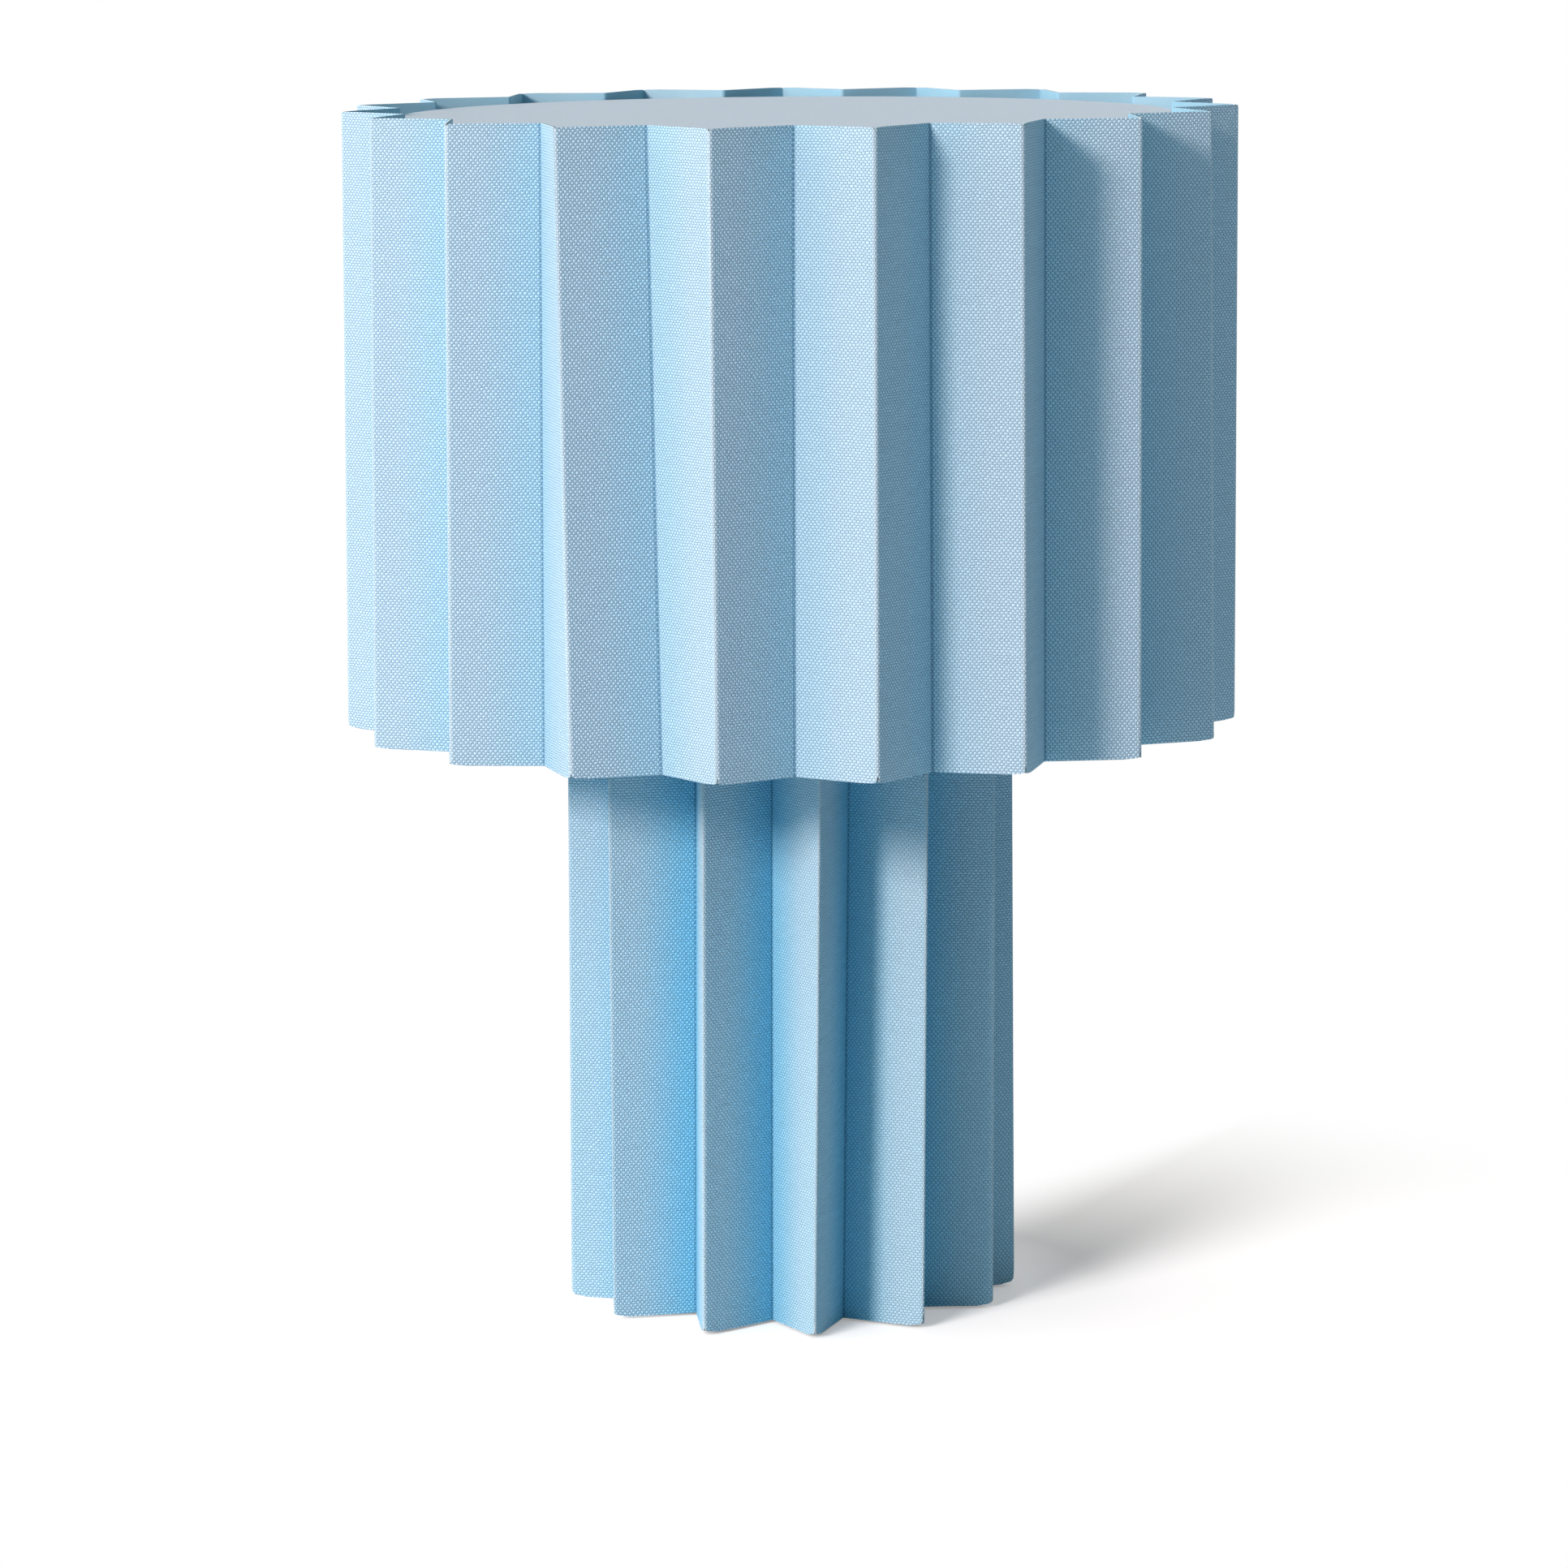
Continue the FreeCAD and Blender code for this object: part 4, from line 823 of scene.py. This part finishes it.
def lining_finish():
    """Fine smooth cotton: threads of half a millimetre, faint slub streaks, a slight sheen."""
    thread = 0.5 * MM
    thread_relief = 0.06 * MM
    tree, shader, finish = new_finish("smooth_cotton_lining", roughness=0.7, sheen_weight=0.35,
                                      sheen_roughness=0.4, specular_ior_level=0.3)
    place = add(tree, "ShaderNodeTexCoord", out="Object")
    split = add(tree, "ShaderNodeSeparateXYZ", {0: place})
    waves = [add(tree, "ShaderNodeMath", {
        0: add(tree, "ShaderNodeMath", {0: split.node.outputs[axis], 1: math.pi / thread},
               operation="MULTIPLY")}, operation="SINE") for axis in ("X", "Y")]
    weave = add(tree, "ShaderNodeMath", {
        0: add(tree, "ShaderNodeMath", {0: waves[0], 1: waves[1]}, operation="MULTIPLY"),
        1: 0.5, 2: 0.5}, operation="MULTIPLY_ADD")
    streaks = [add(tree, "ShaderNodeTexNoise", {
        0: add(tree, "ShaderNodeMapping", {0: place, "Scale": [share / thread for share in way]}),
        "Scale": 1.0, "Detail": 3.0}) for way in ((0.03, 0.7, 1.0), (0.7, 0.03, 1.0))]
    tone = add(tree, "ShaderNodeMath", {
        0: add(tree, "ShaderNodeMath", {0: streaks[0], 1: streaks[1]}), 1: 0.7, 2: -0.25},
        operation="MULTIPLY_ADD")
    colour = add(tree, "ShaderNodeMix", {0: tone, 6: linear("#68a1ba"), 7: linear("#75abc4")},
                 out=2, data_type="RGBA")
    colour = add(tree, "ShaderNodeMix", {
        0: add(tree, "ShaderNodeMath", {0: weave, 1: 0.25}, operation="MULTIPLY"),
        6: colour, 7: linear("#85bdd2")}, out=2, data_type="RGBA")
    relief = add(tree, "ShaderNodeBump", {"Strength": 1.0, "Distance": thread_relief,
                                          "Height": weave})
    tree.links.new(colour, shader.inputs["Base Color"])
    tree.links.new(relief, shader.inputs["Normal"])
    return finish


dress(lining_finish(), "top_disc")

# Studio
# A white table, a low broad lamp from the left of the camera and a cooler room light, strongest
# from the left. Places are in metres, the lens in millimetres, the camera's tilt and roll in
# radians and the lamps' angles in degrees.
CAMERA_PLACE = (0.0, -2.1754, 0.5296)
CAMERA_TILT = 0.1549
CAMERA_ROLL = -0.0076
CAMERA_LENS = 139.5
CAMERA_SHIFT = (-0.0051, -0.0061)
KEY_AZIMUTH = 44.0
KEY_ELEVATION = 20.5
KEY_STRENGTH = 3.9
KEY_WIDTH = 12.0
TABLE_KEY_AZIMUTH = 37.0
TABLE_KEY_STRENGTH = 4.8
TABLE_KEY_WIDTH = 24.0
ROOM_DIM = 0.05
ROOM_LEFT = 1.45
ROOM_RIGHT = 0.08
ROOM_BACK = 0.24
ROOM_ABOVE = 0.48
SIDE_FADE = (0.25, 0.75)
ABOVE_FADE = (0.4, 0.8)

camera_data = bpy.data.cameras.new("camera")
camera_data.lens = CAMERA_LENS
camera_data.shift_x, camera_data.shift_y = CAMERA_SHIFT
camera = bpy.data.objects.new("camera", camera_data)
camera.matrix_world = (
    Matrix.Translation(CAMERA_PLACE)
    @ Matrix.Rotation(math.pi / 2 - CAMERA_TILT, 4, "X")
    @ Matrix.Rotation(CAMERA_ROLL, 4, "Z"))
bpy.context.scene.collection.objects.link(camera)
bpy.context.scene.camera = camera


def far_lamp(name, azimuth, strength, width, colour):
    """A far, broad lamp, its azimuth counted from behind the camera to the left."""
    lamp_data = bpy.data.lights.new(name, "SUN")
    lamp_data.energy = strength
    lamp_data.angle = math.radians(width)
    lamp_data.color = linear(colour)[:3]
    lamp = bpy.data.objects.new(name, lamp_data)
    azimuth, elevation = math.radians(azimuth), math.radians(KEY_ELEVATION)
    shining = Vector((math.sin(azimuth) * math.cos(elevation),
                      math.cos(azimuth) * math.cos(elevation), -math.sin(elevation)))
    lamp.rotation_euler = shining.to_track_quat("-Z", "Y").to_euler()
    bpy.context.scene.collection.objects.link(lamp)
    return lamp


def in_sight(tree):
    """One for what the camera sees, also in a reflection or through glass, and else nought."""
    seen = add(tree, "ShaderNodeLightPath")
    rays = seen.node.outputs
    for ray in ("Is Glossy Ray", "Is Transmission Ray"):
        seen = add(tree, "ShaderNodeMath", {0: seen, 1: rays[ray]}, operation="MAXIMUM")
    return seen


key_light = far_lamp("key_light", KEY_AZIMUTH, KEY_STRENGTH, KEY_WIDTH, "#ffccbc")
table_light = far_lamp("table_light", TABLE_KEY_AZIMUTH, TABLE_KEY_STRENGTH, TABLE_KEY_WIDTH,
                       "#eff9ff")

world = bpy.data.worlds.new("studio")
bpy.context.scene.world = world
world.use_nodes = True
room = world.node_tree
straight = in_sight(room)
towards = add(room, "ShaderNodeSeparateXYZ", {0: add(room, "ShaderNodeTexCoord", out="Generated")})
to_right, to_back, upwards = [towards.node.outputs[axis] for axis in ("X", "Y", "Z")]

# Each side of the room adds a share of its own, which grows as a direction turns to that side
room_light = ROOM_DIM
for side, sign, fade, share in (
        (to_right, -1, SIDE_FADE, ROOM_LEFT), (to_right, 1, SIDE_FADE, ROOM_RIGHT),
        (to_back, 1, SIDE_FADE, ROOM_BACK), (upwards, 1, ABOVE_FADE, ROOM_ABOVE)):
    room_light = add(room, "ShaderNodeMath", {
        0: room_light,
        1: add(room, "ShaderNodeMapRange", {
            0: side, 1: sign * fade[0], 2: sign * fade[1], 3: 0.0, 4: share},
            interpolation_type="SMOOTHSTEP")})
room.links.new(add(room, "ShaderNodeMix", {0: straight, 2: room_light, 3: 1.0}),
               room.nodes["Background"].inputs["Strength"])
room.links.new(add(room, "ShaderNodeMix", {
    0: straight, 6: linear("#f2fdff"), 7: (1.0, 1.0, 1.0, 1.0)}, out=2, data_type="RGBA"),
    room.nodes["Background"].inputs["Color"])

# The table is painted white, and brighter to the camera than to bounced light. It keeps the
# shadow and fades to plain white further out. Painted light whitens the shadow's far side
# and lightens the shadow a little at the foot.
FLOOR_HALF = 4.0
TABLE_PAINT = (0.66, 0.6, 0.59, 1.0)
TABLE_IN_SIGHT = (1.24, 1.08, 1.02, 1.0)
OUTWARD_FADE = (0.1, 0.38)
FOOT_FADE = (0.085, 0.115)
FOOT_FADE_SHARE = 0.3
ACROSS_SHADOW = (0.77, -0.64, 0.0)
FAR_SIDE_FADE = (0.025, -0.045)
floor_mesh = bpy.data.meshes.new("floor")
floor_mesh.from_pydata([(-FLOOR_HALF, -FLOOR_HALF, 0.0), (FLOOR_HALF, -FLOOR_HALF, 0.0),
                        (FLOOR_HALF, FLOOR_HALF, 0.0), (-FLOOR_HALF, FLOOR_HALF, 0.0)],
                       [], [(0, 1, 2, 3)])
floor = bpy.data.objects.new("floor", floor_mesh)
bpy.context.scene.collection.objects.link(floor)
table_top = bpy.data.materials.new("white_table")
table_top.use_nodes = True
tree = table_top.node_tree
tree.nodes.remove(tree.nodes["Principled BSDF"])
straight = in_sight(tree)
paint = add(tree, "ShaderNodeMix", {0: straight, 6: TABLE_PAINT, 7: TABLE_IN_SIGHT}, out=2,
            data_type="RGBA", clamp_result=False)
place = add(tree, "ShaderNodeTexCoord", out="Object")
away = add(tree, "ShaderNodeVectorMath", {0: place}, out="Value", operation="LENGTH")
fading = add(tree, "ShaderNodeMapRange", {0: away, 1: OUTWARD_FADE[0], 2: OUTWARD_FADE[1]},
             interpolation_type="SMOOTHSTEP")
# Painted light: the shadow lightens a little at the foot, and its far side fades to white
painted_light_at_foot = add(tree, "ShaderNodeMapRange", {
    0: away, 1: FOOT_FADE[0], 2: FOOT_FADE[1], 3: FOOT_FADE_SHARE, 4: 0.0})
across = add(tree, "ShaderNodeVectorMath", {0: place, 1: ACROSS_SHADOW}, out="Value",
             operation="DOT_PRODUCT")
painted_light_far_side = add(tree, "ShaderNodeMapRange", {
    0: across, 1: FAR_SIDE_FADE[0], 2: FAR_SIDE_FADE[1]}, interpolation_type="SMOOTHSTEP")
for other in (painted_light_at_foot, painted_light_far_side):
    fading = add(tree, "ShaderNodeMath", {0: fading, 1: other}, operation="MAXIMUM")
surface = add(tree, "ShaderNodeMixShader", {
    0: add(tree, "ShaderNodeMath", {0: fading, 1: straight}, operation="MULTIPLY"),
    1: add(tree, "ShaderNodeBsdfDiffuse", {"Color": paint}),
    2: add(tree, "ShaderNodeEmission", {"Color": (1.0, 1.0, 1.0, 1.0), "Strength": 1.0})})
tree.links.new(surface, tree.nodes["Material Output"].inputs["Surface"])
floor_mesh.materials.append(table_top)

# The table has its own softer key light, nearly as cool as the room light, so that its shadow
# is grey
for lamp, state in ((key_light, "EXCLUDE"), (table_light, "INCLUDE")):
    lit = bpy.data.collections.new(lamp.name + "_lights")
    lit.objects.link(floor)
    lit.collection_objects[0].light_linking.link_state = state
    lamp.light_linking.receiver_collection = lit

bpy.context.scene.view_settings.view_transform = "Standard"
